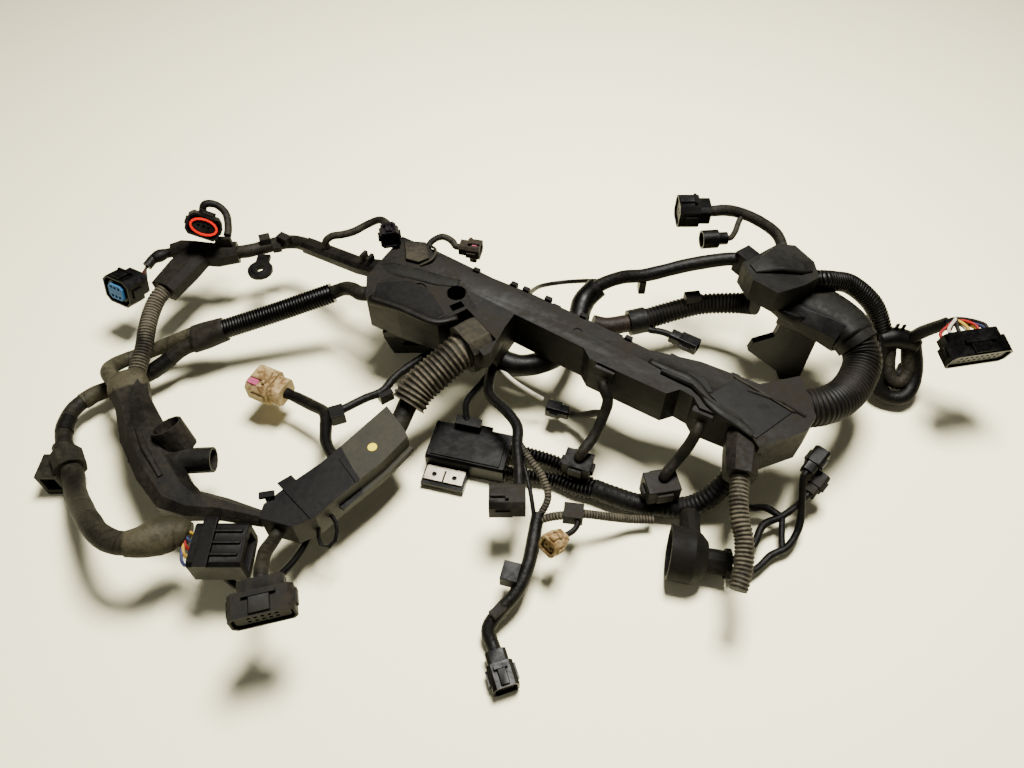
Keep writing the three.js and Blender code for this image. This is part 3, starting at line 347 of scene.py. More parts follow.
# After the base and dust colours come the amount of dust, then the roughness, grain and scuffs of
# plastic, the roughness of conduit, or the pitch of the turns in metres and the roughness of tape.
M = {
    "trunk": plastic("trunk plastic", seen(30, 26, 22), seen(74, 66, 52), 0.6, 0.45, 0.5, 0.35),
    "trough": plastic("trough plastic", seen(76, 75, 61), seen(108, 104, 85), 0.6, 0.45, 0.4, 0.4),
    "lid": plastic("grey green plastic", seen(34, 33, 27), seen(68, 67, 55), 0.5, 0.48, 0.5, 0.3),
    "grey": plastic("grey plastic", seen(37, 34, 30), seen(84, 77, 62), 0.62, 0.5, 0.4, 0.3),
    "black": plastic("black plastic", seen(17, 15, 14), seen(52, 47, 39), 0.4, 0.4, 0.3, 0.3),
    "glossy": plastic("glossy black plastic", seen(9, 8, 8), seen(34, 31, 26), 0.3, 0.28, 0.25,
                      0.3),
    "collar": plastic("collar plastic", seen(48, 43, 35), seen(102, 94, 74), 0.8, 0.5, 0.5, 0.4),
    "dusty": plastic("dusty plastic", seen(34, 31, 27), seen(84, 77, 62), 0.7, 0.5, 0.5, 0.35),
    "beige": plastic("beige plastic", bright(204, 184, 142), bright(132, 108, 76), 0.8, 0.45,
                     0.3, 0.2),
    "pink": plastic("pink plastic", bright(206, 104, 146), bright(140, 92, 96), 0.5, 0.45, 0.3,
                    0.2),
    "blue": plastic("blue plastic", bright(92, 150, 200), bright(62, 92, 116), 0.3, 0.4, 0.2, 0.1),
    "red": plastic("red rubber", bright(255, 58, 24), bright(130, 36, 22), 0.4, 0.35, 0.2, 0.1),
    "rubber": plastic("rubber", seen(23, 20, 17), seen(58, 51, 40), 0.7, 0.6, 0.6, 0.3),
    "yellow": plastic("yellow paper", bright(255, 240, 0), bright(215, 185, 30), 0.12, 0.5,
                      0.1, 0.1),
    "plum": plastic("dark plum plastic", seen(36, 24, 42), seen(62, 52, 58), 0.4, 0.4, 0.3, 0.3),
    "brown": plastic("brown plastic", seen(60, 46, 36), seen(96, 82, 64), 0.6, 0.5, 0.3, 0.3),
    "conduit": corrugated("conduit plastic", seen(33, 29, 24), seen(76, 68, 54), 0.7),
    "pale_conduit": corrugated("pale conduit plastic", seen(64, 58, 47), seen(148, 136, 108), 1.0),
    "shiny_conduit": corrugated("shiny conduit plastic", seen(14, 13, 12), seen(48, 43, 36), 0.45,
                                0.3),
    "loom": wound("loom tape", seen(43, 40, 30), seen(84, 78, 59), 0.95),
    "dark_loom": wound("dark loom tape", seen(22, 20, 17), seen(58, 52, 42), 0.6, 0.013, 0.5),
    "yellowed": wound("yellowed tape", seen(88, 82, 57), seen(122, 113, 82), 1.0, 0.02),
    "sleeve": plastic("sleeve plastic", seen(14, 13, 12), seen(46, 41, 34), 0.5, 0.34, 0.5, 0.3),
    # A near-black finish with no specular, which paints the shade inside a hole.
    "hole_shade": plastic("hole_shade", seen(8, 7, 7), seen(20, 18, 15), 0.3, 0.8, 0.3, 0.1),
    "olive": plastic("olive plastic", seen(44, 42, 31), seen(88, 84, 64), 0.7, 0.5, 0.4, 0.3),
    "brown_tape": wound("reddish brown tape", seen(66, 44, 36), seen(96, 76, 60), 0.6, 0.014, 0.55),
    "metal": metal("plated metal", bright(200, 194, 176)),
}
M["hole_shade"].node_tree.nodes["Principled BSDF"].inputs["Specular IOR Level"].default_value = 0
WIRE_COLOURS = ((40, 40, 40), (215, 180, 80), (190, 60, 50), (80, 90, 130), (225, 220, 205),
                (170, 40, 40))
for i, colour in enumerate(WIRE_COLOURS):
    M["wire_%d" % i] = plastic("wire %d" % i, bright(*colour), PALE_DUST, 0.4, 0.4, 0.1, 0.1)
print("materials:", len(bpy.data.materials))

# %% [markdown]
# ## Geometry Nodes: one tube for looms and conduits
# Conduits have hundreds of equal ridges, and taped looms are lumpy where wires cross inside. Ridges
# could be modelled one by one, but they follow a rule, so a line of points becomes a tube whose
# radius follows a wave along the run. The run, the wave and the ring's direction are stored for the
# materials, so that dust and a painted highlight lie on the crests, painted shade darkens the
# grooves, and tape turns follow the loom with painted shade on each turn.

# %% Tube nodes
CREST_POWER = 0.7  # below 1 the ridges are broad and the grooves narrow
LUMP_SCALE = 55
LUMP_MIDDLE = 0.62
TUBE_INPUTS = {
    "Geometry": "Geometry", "Radius": "Float", "Ridge pitch": "Float", "Ridge depth": "Float",
    "Sides": "Int", "Step": "Float", "Lumps": "Float", "Material": "Material",
}


def tube_nodes():
    """The group that makes a line of points into a tube."""
    tree = bpy.data.node_groups.new("Loom tube", "GeometryNodeTree")
    face = tree.interface
    for title, kind in TUBE_INPUTS.items():
        face.new_socket(title, in_out="INPUT", socket_type="NodeSocket" + kind)
    face.new_socket("Geometry", in_out="OUTPUT", socket_type="NodeSocketGeometry")
    start = tree.nodes.new("NodeGroupInput")
    end = tree.nodes.new("NodeGroupOutput")
    given = {s.name: s for s in start.outputs}
    line = node(tree, "GeometryNodeMeshToCurve", [(0, given["Geometry"])])
    even = node(tree, "GeometryNodeResampleCurve", [(0, line.outputs[0])])
    even.mode = "LENGTH"
    tree.links.new(given["Step"], even.inputs["Length"])
    run = tree.nodes.new("GeometryNodeSplineParameter").outputs["Length"]
    turn = maths(tree, "MULTIPLY", maths(tree, "DIVIDE", run, given["Ridge pitch"]), 2 * math.pi)
    wave = maths(tree, "ADD", maths(tree, "MULTIPLY", maths(tree, "SINE", turn), 0.5), 0.5)
    crest = maths(tree, "POWER", wave, CREST_POWER)
    groove = maths(tree, "SUBTRACT", 1.0, crest)
    sunk = maths(tree, "MULTIPLY", groove, given["Ridge depth"])
    uneven = node(tree, "ShaderNodeTexNoise")
    uneven.inputs["Scale"].default_value = LUMP_SCALE
    off_middle = maths(tree, "SUBTRACT", uneven.outputs[0], LUMP_MIDDLE)
    lumps = maths(tree, "MULTIPLY", off_middle, given["Lumps"])
    radius = maths(tree, "ADD", maths(tree, "SUBTRACT", given["Radius"], sunk), lumps)
    kept = even.outputs[0]
    for title, value in (("run", run), ("crest", crest)):
        store = node(tree, "GeometryNodeStoreNamedAttribute", [(0, kept)])
        store.inputs["Name"].default_value = title
        tree.links.new(value, store.inputs["Value"])
        kept = store.outputs[0]
    circle = tree.nodes.new("GeometryNodeCurvePrimitiveCircle")
    circle.inputs["Radius"].default_value = 1
    tree.links.new(given["Sides"], circle.inputs["Resolution"])
    ring = node(tree, "GeometryNodeStoreNamedAttribute", [(0, circle.outputs[0])])
    ring.data_type = "FLOAT_VECTOR"
    ring.inputs["Name"].default_value = "ring"
    tree.links.new(tree.nodes.new("GeometryNodeInputPosition").outputs[0], ring.inputs["Value"])
    sweep = node(tree, "GeometryNodeCurveToMesh", [(0, kept), (1, ring.outputs[0])])
    tree.links.new(radius, sweep.inputs["Scale"])
    sweep.inputs["Fill Caps"].default_value = True
    real = node(tree, "GeometryNodeRealizeInstances", [(0, sweep.outputs[0])])
    paint = node(tree, "GeometryNodeSetMaterial", [(0, real.outputs[0])])
    tree.links.new(given["Material"], paint.inputs["Material"])
    tree.links.new(paint.outputs[0], end.inputs[0])
    return tree


TUBE = tube_nodes()
SOCKETS = {s.name: s.identifier for s in TUBE.interface.items_tree if s.in_out == "INPUT"}
STEPS_PER_RIDGE = 6
LONGEST_STEP = 2.5
PLAIN_PITCH = 5  # without effect, as a plain tube's ridges have no depth
LUMP_GAIN = 1.6
TUBE_CREASE = math.radians(60)


def smooth(points, step=2.0):
    """The smooth centripetal line of the source through its points, in millimetres."""
    p = [Vector(q) for q in points]
    p = [2 * p[0] - p[1]] + p + [2 * p[-1] - p[-2]]
    line = []
    for i in range(1, len(p) - 2):
        a, b, c, d = p[i - 1:i + 3]
        t0, t1, t2 = (max((v - u).length, 1e-4) ** 0.5 for u, v in ((a, b), (b, c), (c, d)))
        m1 = ((b - a) / t0 - (c - a) / (t0 + t1) + (c - b) / t1) * t1
        m2 = ((c - b) / t1 - (d - b) / (t1 + t2) + (d - c) / t2) * t1
        count = max(2, round((c - b).length / step))
        for k in range(count):
            t = k / count
            squared = (-3 * b + 3 * c - 2 * m1 - m2) * t * t
            cubed = (2 * b - 2 * c + m1 + m2) * t ** 3
            line.append(b + m1 * t + squared + cubed)
    line.append(p[-2])
    return line


def keep(obj, cad):
    """The object stands for a CAD node: it hangs from the root body, and the node is hidden."""
    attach(obj, "root")
    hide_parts(cad)


def plain_mesh(obj):
    """The object with its modifiers turned into a plain mesh."""
    bpy.context.view_layer.update()
    depsgraph = bpy.context.evaluated_depsgraph_get()
    mesh = bpy.data.meshes.new_from_object(obj.evaluated_get(depsgraph),
                                           preserve_all_data_layers=True, depsgraph=depsgraph)
    obj.modifiers.clear()
    old = obj.data
    obj.data = mesh
    bpy.data.meshes.remove(old)


def tube(name, route, diameter, finish, cad, pitch=0.0, depth=0.0, lumps=0.0, sides=20):
    """A loom or conduit along a route. Pitch and depth are its ridges, all in millimetres."""
    line = [metres(q) for q in smooth(route)]
    mesh = bpy.data.meshes.new(name)
    mesh.from_pydata([tuple(q) for q in line], [(i, i + 1) for i in range(len(line) - 1)], [])
    obj = link(name, mesh)
    modifier = obj.modifiers.new("tube", "NODES")
    modifier.node_group = TUBE
    step = pitch / STEPS_PER_RIDGE if pitch else min(LONGEST_STEP, diameter / 4)
    values = {
        "Radius": diameter / 2000, "Ridge pitch": (pitch or PLAIN_PITCH) / 1000,
        "Ridge depth": depth / 1000, "Sides": sides, "Step": step / 1000,
        "Lumps": lumps * LUMP_GAIN / 1000, "Material": M[finish],
    }
    for title, value in values.items():
        modifier[SOCKETS[title]] = value
    plain_mesh(obj)
    obj.data.shade_smooth()
    obj.data.set_sharp_from_angle(angle=TUBE_CREASE)
    keep(obj, cad)


print("tube inputs:", sorted(SOCKETS))

# %% [markdown]
# ## Housings
# Moulded housings never have razor edges. They could be modelled again with rounded edges, but the
# solids have the right outline already. So each rigid solid is copied, its loose triangles are
# merged, and its edges get a small bevel, so that they catch the light as moulded edges do.

# %% Housings
CREASE = math.radians(32)
FLAT = math.radians(1.5)
MERGE_DISTANCE = 2e-5


def bevelled(obj, width):
    """Rounds the edges of the object by a width in millimetres."""
    obj.data.shade_smooth()
    obj.data.set_sharp_from_angle(angle=CREASE)
    bevel = obj.modifiers.new("edge", "BEVEL")
    bevel.width = width / 1000
    bevel.segments = 2
    bevel.limit_method = "ANGLE"
    bevel.angle_limit = CREASE
    bevel.use_clamp_overlap = True
    bevel.harden_normals = True
    plain_mesh(obj)


def dressed(name, finish, width):
    """A copy of a CAD node with merged points and bevelled edges, which stands for the node."""
    mesh = nodes[name].data.copy()
    shape = bmesh.new()
    shape.from_mesh(mesh)
    bmesh.ops.remove_doubles(shape, verts=shape.verts, dist=MERGE_DISTANCE)
    bmesh.ops.dissolve_limit(shape, angle_limit=FLAT, verts=shape.verts, edges=shape.edges)
    shape.to_mesh(mesh)
    shape.free()
    mesh.materials.clear()
    mesh.materials.append(M[finish])
    obj = link(name + "_finished", mesh)
    bevelled(obj, width)
    keep(obj, name)


# Each housing's material and the width of its rounded edges in millimetres.
HOUSINGS = {
    "trunk_cover": ("trunk", 1.8), "trunk_base": ("black", 0.3), "outlet_collar": ("collar", 0.8),
    "trough_cover": ("trough", 0.8), "socket_holder": ("dusty", 1.2),
    "left_clip_box": ("olive", 0.5), "block_connector": ("black", 0.5),
    "wide_grey_connector": ("grey", 0.4), "y_protector": ("trunk", 1.6),
    "blue_face_connector": ("glossy", 0.5), "blue_retainer": ("blue", 0.2),
    "red_seal_connector": ("grey", 0.4), "red_seal": ("red", 0.2), "bolt_ring": ("black", 0.5),
    "back_connector_left": ("plum", 0.4), "back_connector_right": ("brown", 0.4),
    "rear_foot": ("black", 0.5), "beige_connector": ("beige", 0.4), "relay_box": ("glossy", 0.6),
    "terminal_pads": ("metal", 0.2), "small_black_connector": ("glossy", 0.3),
    "plug_block_one": ("black", 0.6), "plug_block_two": ("dusty", 0.8),
    "four_way_connector": ("grey", 0.4), "bottom_connector": ("glossy", 0.4),
    "two_way_connector": ("beige", 0.3), "rubber_cap": ("rubber", 0.6),
    "black_plug": ("glossy", 0.3), "ribbed_plug": ("grey", 0.3), "upper_protector": ("lid", 1.6),
    "lower_protector": ("black", 0.9), "wide_black_connector": ("glossy", 0.5),
    "square_connector": ("black", 0.5), "round_connector": ("glossy", 0.3),
    "small_connector": ("glossy", 0.3),
}
for name, (finish, width) in HOUSINGS.items():
    dressed(name, finish, width)
print("housings:", len(HOUSINGS))

AROUND = 24


def built(name, shape, finish):
    """The object that a finished shape becomes."""
    mesh = bpy.data.meshes.new(name)
    shape.to_mesh(mesh)
    shape.free()
    mesh.materials.append(M[finish])
    return link(name, mesh)


def box(name, size, at, turn, finish, cad, width=0.5):
    """A small clip or block with bevelled edges, in millimetres."""
    shape = bmesh.new()
    bmesh.ops.create_cube(shape, size=1)
    turned = Matrix.Translation(metres(at)) @ Matrix.Rotation(math.radians(turn), 4, "Z")
    sized = Matrix.Diagonal([side / 1000 for side in size] + [1])
    bmesh.ops.transform(shape, matrix=turned @ sized, verts=shape.verts)
    obj = built(name, shape, finish)
    bevelled(obj, width)
    keep(obj, cad)


def skinned(name, rings, finish):
    """A closed skin over rings of points, in millimetres."""
    shape = bmesh.new()
    rings = [[shape.verts.new(metres(point)) for point in ring] for ring in rings]
    for a, b in zip(rings, rings[1:]):
        for n in range(len(a)):
            k = (n + 1) % len(a)
            shape.faces.new((a[n], a[k], b[k], b[n]))
    shape.faces.new(rings[0][::-1])
    shape.faces.new(rings[-1])
    bmesh.ops.recalc_face_normals(shape, faces=shape.faces)
    return built(name, shape, finish)


def form(name, stations, finish, cad, power=2.0):
    """A smooth form through stations x, y, z, width and height. Above 2, power squares it."""
    line = smooth([s[:3] for s in stations], step=3)
    rings = []
    for k, centre in enumerate(line):
        share = k / (len(line) - 1) * (len(stations) - 1)
        i = min(int(share), len(stations) - 2)
        here, after = stations[i], stations[i + 1]
        w, h = (here[j] + (after[j] - here[j]) * (share - i) for j in (3, 4))
        along = (line[min(k + 1, len(line) - 1)] - line[max(k - 1, 0)]).normalized()
        across = along.cross(Vector((0, 0, 1))).normalized()
        up = across.cross(along)
        ring = []
        for n in range(AROUND):
            a = 2 * math.pi * n / AROUND
            c, s = math.cos(a), math.sin(a)
            u = math.copysign(abs(c) ** (2 / power), c) * w / 2
            v = math.copysign(abs(s) ** (2 / power), s) * h / 2
            ring.append(centre + across * u + up * v)
        rings.append(ring)
    obj = skinned(name, rings, finish)
    obj.data.shade_smooth()
    keep(obj, cad)


def disc(x, y, radius):
    """The plan outline of a round plate."""
    turn = [n * math.pi / (AROUND / 2) for n in range(AROUND)]
    return [(x + radius * math.cos(a), y + radius * math.sin(a)) for a in turn]


def plate(name, outline, bottom, top, finish, cad, width=0.4):
    """A flat raised plate over a plan outline, with bevelled edges, in millimetres."""
    obj = skinned(name, [[(x, y, z) for x, y in outline] for z in (bottom, top)], finish)
    bevelled(obj, width)
    keep(obj, cad)


def two_tone(name, point, normal, material):
    """The side of a finished housing that the normal points to gets a second material."""
    mesh = bpy.data.objects[name].data
    shape = bmesh.new()
    shape.from_mesh(mesh)
    centre = metres((*point, 50))  # any height does, as the cut is upright
    facing = Vector((*normal, 0)).normalized()
    everything = shape.verts[:] + shape.edges[:] + shape.faces[:]
    bmesh.ops.bisect_plane(shape, geom=everything, dist=1e-6, plane_co=centre, plane_no=facing)
    mesh.materials.append(material)
    for face in shape.faces:
        if (face.calc_center_median() - centre).dot(facing) > 0:
            face.material_index = len(mesh.materials) - 1
    shape.to_mesh(mesh)
    shape.free()


# %% [markdown]
# ## Moulded details
# The channel carries raised ribs, recessed panels and clips, and its trough has a yellow dot. They
# have no solids of their own, and a picture could not cast their shadows, so each is a thin plate
# or a smooth form that lies on the housing that carries it. The recessed panels and a hole are
# black plates that paint the shade inside them.

# %% Moulded details
TRUNK = "trunk_cover"
TRUNK_TOP = 94
form("trunk_arm_ridge", [(-133, 68, 82, 15, 13), (-112, 57, 88, 17, 14), (-96, 49, 91.5, 17, 12),
     (-78, 43, 93.5, 15, 8), (-60, 36, 94.5, 13, 5), (-44, 33, 94.8, 8, 3)], "lid", TRUNK, 2.6)
# Painted shade: the recessed bay, panel and hollow are drawn as black plates on the top.
plate("trunk_bay", [(-113, 33), (-84, 36), (-66, 20), (-54, -4), (-61, -9), (-90, 5), (-114, 18)],
      TRUNK_TOP, 95.9, "black", TRUNK, 0.6)
form("trunk_front_rib", [(-117, 17, 92, 7, 9), (-92, 6, 94, 7, 6), (-61, -10, 94.5, 7, 5),
     (-44, -6, 94.5, 5, 4)], "trunk", TRUNK, 2.6)
plate("trunk_panel", [(169, -69), (205, -101), (174, -124), (158, -102), (147, -84)], TRUNK_TOP,
      95.8, "black", TRUNK, 0.6)
plate("trunk_hollow", [(133, -62), (147, -68), (150, -82), (143, -82), (134, -70)], TRUNK_TOP, 95.7,
      "black", TRUNK)
form("trunk_crest", [(106, -51, 94.6, 5, 3), (122, -62, 95.2, 7, 4), (134, -70, 95.6, 8, 5),
     (141, -80, 95.6, 8, 5), (146, -92, 95.6, 8, 5), (153, -101, 95.4, 8, 5), (163, -109, 95, 8, 4),
     (174, -121, 94.2, 6, 3)], "lid", TRUNK, 2.4)
form("trunk_seam", [(168, -67, 95.4, 1.6, 2), (187, -84, 96, 2, 2.4), (207, -101, 95.4, 1.6, 2)],
     "collar", TRUNK)
plate("back_bracket", [(-94, 83), (-75, 81), (-71, 61), (-80, 56), (-91, 60)], 95, 98.5, "collar",
      TRUNK, 0.8)
tube("bracket_strap", [(-72, 79, 96), (-66, 70, 99), (-68, 60, 98), (-78, 54, 96)], 2.4, "collar",
     TRUNK, sides=10)
for i, (x, y) in enumerate(((2, 31), (12, 25), (-30, 48), (30, 14), (58, -5), (92, -29))):
    box("trunk_clip_%d" % i, (6, 4, 5), (x, y, 95), -32, "black", TRUNK)
# Painted shade: a black disc on the top stands for the shade inside a hole.
plate("trunk_hole", disc(-46, 22, 7.5), TRUNK_TOP, 96.05, "hole_shade", TRUNK, 0.3)
TROUGH = "trough_cover"
two_tone("trough_cover_finished", (-119, -127), (-0.85, -0.5), M["black"])
plate("tape_edge", [(-127, -117), (-112, -137), (-115, -140), (-130, -120)], 61, 62.7, "black",
      TROUGH)
plate("yellow_dot", disc(-106, -109, 3.6), 61.8, 62.3, "yellow", TROUGH, 0.05)
print("details on:", TRUNK, TROUGH)

# %% [markdown]
# ## Connector places
# A lead enters its connector at the rear face. The ends of the leads could be typed as numbers, but
# they would drift from the housings, so the places of the source are repeated and the ends are
# worked out from them. Two coloured marks on connectors are placed the same way.

# %% Places
REAR_GAP = 0.3  # how far a lead ends from the rear face that it enters


def place(at, heading, tilt=0, roll=0):
    """Where a connector is: the middle of its rear face and its turns in degrees."""
    rad = math.radians
    return (Matrix.Translation(Vector(at)) @ Matrix.Rotation(rad(heading), 4, "Z")
            @ Matrix.Rotation(-rad(tilt), 4, "Y") @ Matrix.Rotation(rad(roll), 4, "X"))


def spot(where, x, y=0, z=0):
    """A point of the source, given from a connector's place."""
    return tuple(where @ Vector((x, y, z)))


def into(where, run):
    """The last two points of a lead that runs straight into a connector."""
    return [spot(where, -run), spot(where, -REAR_GAP)]


COLLAR = place((-24, -13.8, 77), 216)
WIDE_GREY = place((-164, -222, 76), -76)
BLUE = place((-343, 80, 53), 243, 15)
RED = place((-281, 117, 90), -68, 25, -35)
BACK_LEFT = place((-109, 95, 102), -78, 8)
BACK_RIGHT = place((-46, 86, 88), -12)
BEIGE = place((-191, -36, 34), 155)
SMALL = place((48, -48, 22), 161)
BOTTOM = place((-12, -246, 8), -72)
TWO_WAY = place((37, -172, 38), 222, 20)
BLACK_PLUG = place((227, -119, 42), 47, 8)
RIBBED_PLUG = place((230, -130, 28), 47, 8)
WIDE_BLACK = place((366, -18, 88), -80, -12)
SQUARE = place((168, 90, 125), 180)
ROUND = place((182, 68, 114), 185)
SMALL_SIDE = place((141, 24, 40), -33)
BOX = place((-35, -79, 0), -14)
print("connector places set, box at", tuple(round(c) for c in BOX.translation))

box("pink_patch", (9, 14, 2), spot(BEIGE, 25, 3, 10.7), 155, "pink", "beige_connector", 0.3)
box("magenta_mark", (4, 4, 1.4), spot(BACK_RIGHT, 14, -2, 6.4), -12, "pink", "back_connector_right",
    0.2)

# %% [markdown]
# ## Conduits and looms
# Conduits are stiff ribbed tubes that guard the thicker runs. The solids have them with few faces
# and coarse ridges, so each is replaced by a finely ridged one along the same route. The hood over
# the right hand tube, its cuff and the last bend of the rear sleeve have no solid of their own.

# %% Conduits
tube("ribbed_conduit_skin", [spot(COLLAR, 1), spot(COLLAR, 16), (-44, -28.5, 76.5), (-61, -42, 70),
     (-75, -54, 64), (-83, -65, 58)], 30, "pale_conduit", "ribbed_conduit", 4.2, 1.9, sides=32)
tube("ribbed_conduit_neck", [(-82.5, -64, 58.4), (-87, -73, 53), (-92, -83, 49), (-104, -99, 48),
     (-122, -121, 48), (-145, -146, 48), (-166, -160, 48)], 16, "loom", "ribbed_conduit", lumps=0.8)
tube("trunk_bundle", [(x, y, 72.3) for x, y in ((-100, 40), (-60, 30), (-18, 20), (7, 10.5),
     (30, -4), (50, -17.3), (72, -35), (107, -58), (135, -67), (155, -77), (198, -90))], 19,
     "dark_loom", "trunk_wire_bundle")
tube("thick_tube", [(-262, 25.5, 43), (-210, 38, 54), (-158, 50, 67)], 18, "shiny_conduit",
     "thick_convoluted_tube", 2.6, 0.9, sides=28)
tube("arm_tube", [(-160, 49.6, 66.5), (-147, 50, 72), (-137, 42, 79), (-129.5, 35, 81.4),
     (-123.4, 34.5, 81.5)], 13, "loom", "thick_convoluted_tube", lumps=0.8)
form("tube_joint", [(-254, 27.4, 44.5, 20, 19.6), (-262, 25.3, 42.9, 22, 20),
     (-270, 23.4, 41, 26, 19), (-282, 20.5, 38.5, 28, 16)], "dusty", "thick_convoluted_tube", 2.6)
tube("foam_bend_skin", [(-283.9, 27, 38.4), (-291.5, 25.2, 36.9), (-308, 21, 31), (-327, 14, 27),
     (-341, 6, 28), (-347, -8, 35), (-342, -22, 43), (-329, -36.9, 47), (-325.2, -43.5, 47)], 13,
     "yellowed", "foam_bend", lumps=1.4)
tube("u_tube_skin", [(214, -86, 78.6), (222, -85, 78.4), (236, -82, 77), (254, -72, 73),
     (272, -54, 70), (284, -32, 72), (283, -19, 76), (279.4, -13.5, 78.4)], 30, "conduit", "u_tube",
     3.6, 1.3, sides=36)
tube("u_tube_cuff", [(282.6, -18.3, 76.2), (279.4, -13.5, 78.4), (276.5, -8.5, 80.4)], 34, "lid",
     "u_tube", sides=32)
form("protector_hood", [(279.4, -13.5, 78.6, 35, 34), (275, -6, 81, 36, 33), (268, 4, 82.5, 38, 30),
     (258, 15, 83.5, 40, 27), (246, 27, 85, 38, 24), (236, 37, 87, 32, 20)], "lid",
     "lower_protector", 2.5)
tube("drop_tube_skin", [(-312.6, 61.1, 58), (-315.8, 54.3, 57.4), (-318.5, 40, 55), (-318, 20, 53),
     (-316, 0, 50), (-316, -18, 48), (-315, -28.9, 47), (-311.2, -35.8, 47)], 15, "pale_conduit",
     "drop_tube", 3, 0.9)
tube("drop_branch_skin", [(164, -138, 77), (163, -146, 76), (160, -160, 74), (159, -175, 71),
     (160, -190, 67), (157, -208, 62), (152, -221, 58)], 14, "pale_conduit", "drop_branch", 3, 1.0)
tube("side_conduit_skin", [(118, 38, 45), (135, 44, 46), (169, 51, 51), (200, 44, 60),
     (211.5, 35, 68)], 19, "conduit", "side_conduit", 3.4, 1.3, sides=28)
tube("side_conduit_collar", [(104, 35, 44), (112, 36.7, 44.5), (119, 38.3, 45)], 23, "black",
     "side_conduit")
tube("side_stretch", [(71.7, 34, 44.5), (84, 33, 42), (106, 35.4, 44)], 16, "brown_tape",
     "side_conduit")
box("side_conduit_clip", (14, 9, 8), (160, 50, 61), 8, "black", "side_conduit")
tube("side_lead", [(118, 32, 42), (124, 29, 41), (130, 29, 40)] + into(SMALL_SIDE, 4), 6,
     "dark_loom", "side_conduit")
tube("power_upper", [spot(BOX, 33.3, 8, 12), spot(BOX, 47, 8, 12), (41, -93, 11), (58, -106, 10),
     (71, -117, 10)], 12, "shiny_conduit", "power_conduits", 3.2, 1.2)
tube("power_lower", [spot(BOX, 33.3, -11, 8), spot(BOX, 47, -11, 8), (34, -105, 8), (52, -114, 8.5),
     (71, -119, 9)], 12, "shiny_conduit", "power_conduits", 3.2, 1.2)
tube("power_tube", [(66, -115, 10), (82, -122, 10), (102, -129, 10), (140, -133, 14),
     (158, -128, 26), (170, -119, 40), (177, -111, 49), (178, -109, 54), (178, -109, 59.6)], 17,
     "sleeve", "power_conduits", 4, 0.5)
tube("back_tube_skin", [(192, 51, 106), (182, 53, 104), (153, 55, 96), (114, 54, 84), (97, 60, 76),
     (78, 60, 66), (66, 54, 58)], 12, "dark_loom", "back_tube", lumps=0.6)
tube("back_sleeve", [(76, 60, 64), (64, 50, 56), (56, 24, 49.6), (42, -4, 49.4), (22, -16, 49.4),
     (2, -18, 49.4), (-9, -13, 51), (-14, -4, 54)], 20, "sleeve", "back_tube", lumps=1.5)
box("joint_clamp", (15, 13, 21), (196, 49, 105), 34, "black", "back_tube", 0.8)
box("back_tube_clip", (6, 10, 14), (114, 54, 73), 0, "black", "back_tube")
tube("wall_wires", [(88, 60, 71), (66, 80, 52), (45, 88, 42), (28, 80, 46), (17, 56, 62),
     (12.5, 35, 76), (8.2, 27, 78)], 4, "dark_loom", "back_tube", sides=12)

# %% [markdown]
# ## Looms and leads
# Looms are wires wound with cloth tape, and thin leads run from them to the plugs. They could be
# simulated, but the real ones are stiff and keep their bends, so each follows a written route.

# %% Looms and leads
tube("left_loom", [(-280.7, 13.8, 38.4), (-288.3, 12, 36.9), (-318, -8, 25), (-346, -19, 21),
     (-362, -28, 21), (-373, -44, 22), (-373, -64, 24), (-365, -86, 25.3)], 13.5, "loom",
     "left_loop", lumps=1.2)
for name, route, finish in (
        ("left_band_one", [(-350, -21, 21), (-361, -27.4, 21), (-368.5, -36, 21.5)], "yellowed"),
        ("left_band_two", [(-373, -55, 23), (-372.6, -63, 24), (-371, -70, 24.5)], "dark_loom"),
        ("left_band_three", [(-300, 4, 32), (-308, -1.5, 29), (-316, -7, 26)], "dark_loom")):
    tube(name, route, 14.6, finish, "left_loop", lumps=0.4)
form("holder_tape", [(-322.5, -29, 48, 29, 18), (-320, -35, 47.5, 32, 21), (-317, -42, 47, 33, 22),
     (-315, -47, 47, 31, 21)], "yellowed", "foam_bend", 2.4)
tube("left_hose", [(-366.5, -84, 25.4), (-357, -99, 25), (-348, -113, 25), (-337, -131, 32),
     (-321, -150, 44), (-304, -168, 56), (-289, -182, 62), (-275, -189, 64), (-262, -190, 64)], 17,
     "loom", "left_loop", lumps=1.2)
form("tape_bulb", [(-268, -190.5, 64, 18, 18), (-257, -188, 63, 22, 22), (-247, -182, 60, 27, 27),
     (-237, -178, 57, 26, 25), (-230, -179, 56, 18, 18)], "yellowed", "left_loop")
for i in range(5):
    tube("block_wire_%d" % i, [(-234, -177, 58 - i), (-230, -176 - i * 5.5, 54),
         (-228.3, -176 - i * 6, 51), (-225.3, -176 - i * 6, 51)], 2.4,
         "wire_%d" % ((i * 2 + 1) % 6), "left_loop", sides=10)
tube("loop_cable_skin", [(-150, -157, 35.7), (-151, -165, 30), (-157, -180, 27), (-168, -194, 24),
     (-182, -204, 22), (-196, -204, 23), (-204, -200, 25.5), (-206, -198.5, 29),
     (-206, -198.5, 32.6)], 6, "black", "loop_cable")
tube("wide_tail", [(-168.2, -173.1, 50), (-170.3, -180.5, 50.5), (-171, -194, 60),
     (-167.5, -208, 71)] + into(WIDE_GREY, 5), 10, "loom", "wide_connector_tail", lumps=0.6)
tube("blue_lead_loom", [(-318.5, 110.9, 59), (-325, 109.3, 58.5), (-333, 103, 59), (-338, 94, 57)],
     9, "dark_loom", "blue_lead", lumps=0.6)
form("blue_lead_boot", [(-322, 110.4, 59, 8, 8), (-328, 107.4, 58.8, 13, 12),
     (-334, 101.6, 59, 9, 9)], "black", "blue_lead")
for i, y in enumerate((-5, 0, 5)):
    tube("blue_wire_%d" % i, [(-335, 100, 58.5), (-339, 92, 56), spot(BLUE, -5, y * 0.7),
         spot(BLUE, -REAR_GAP, y)], 2.4, "wire_%d" % (0, 5, 0)[i], "blue_lead", sides=10)
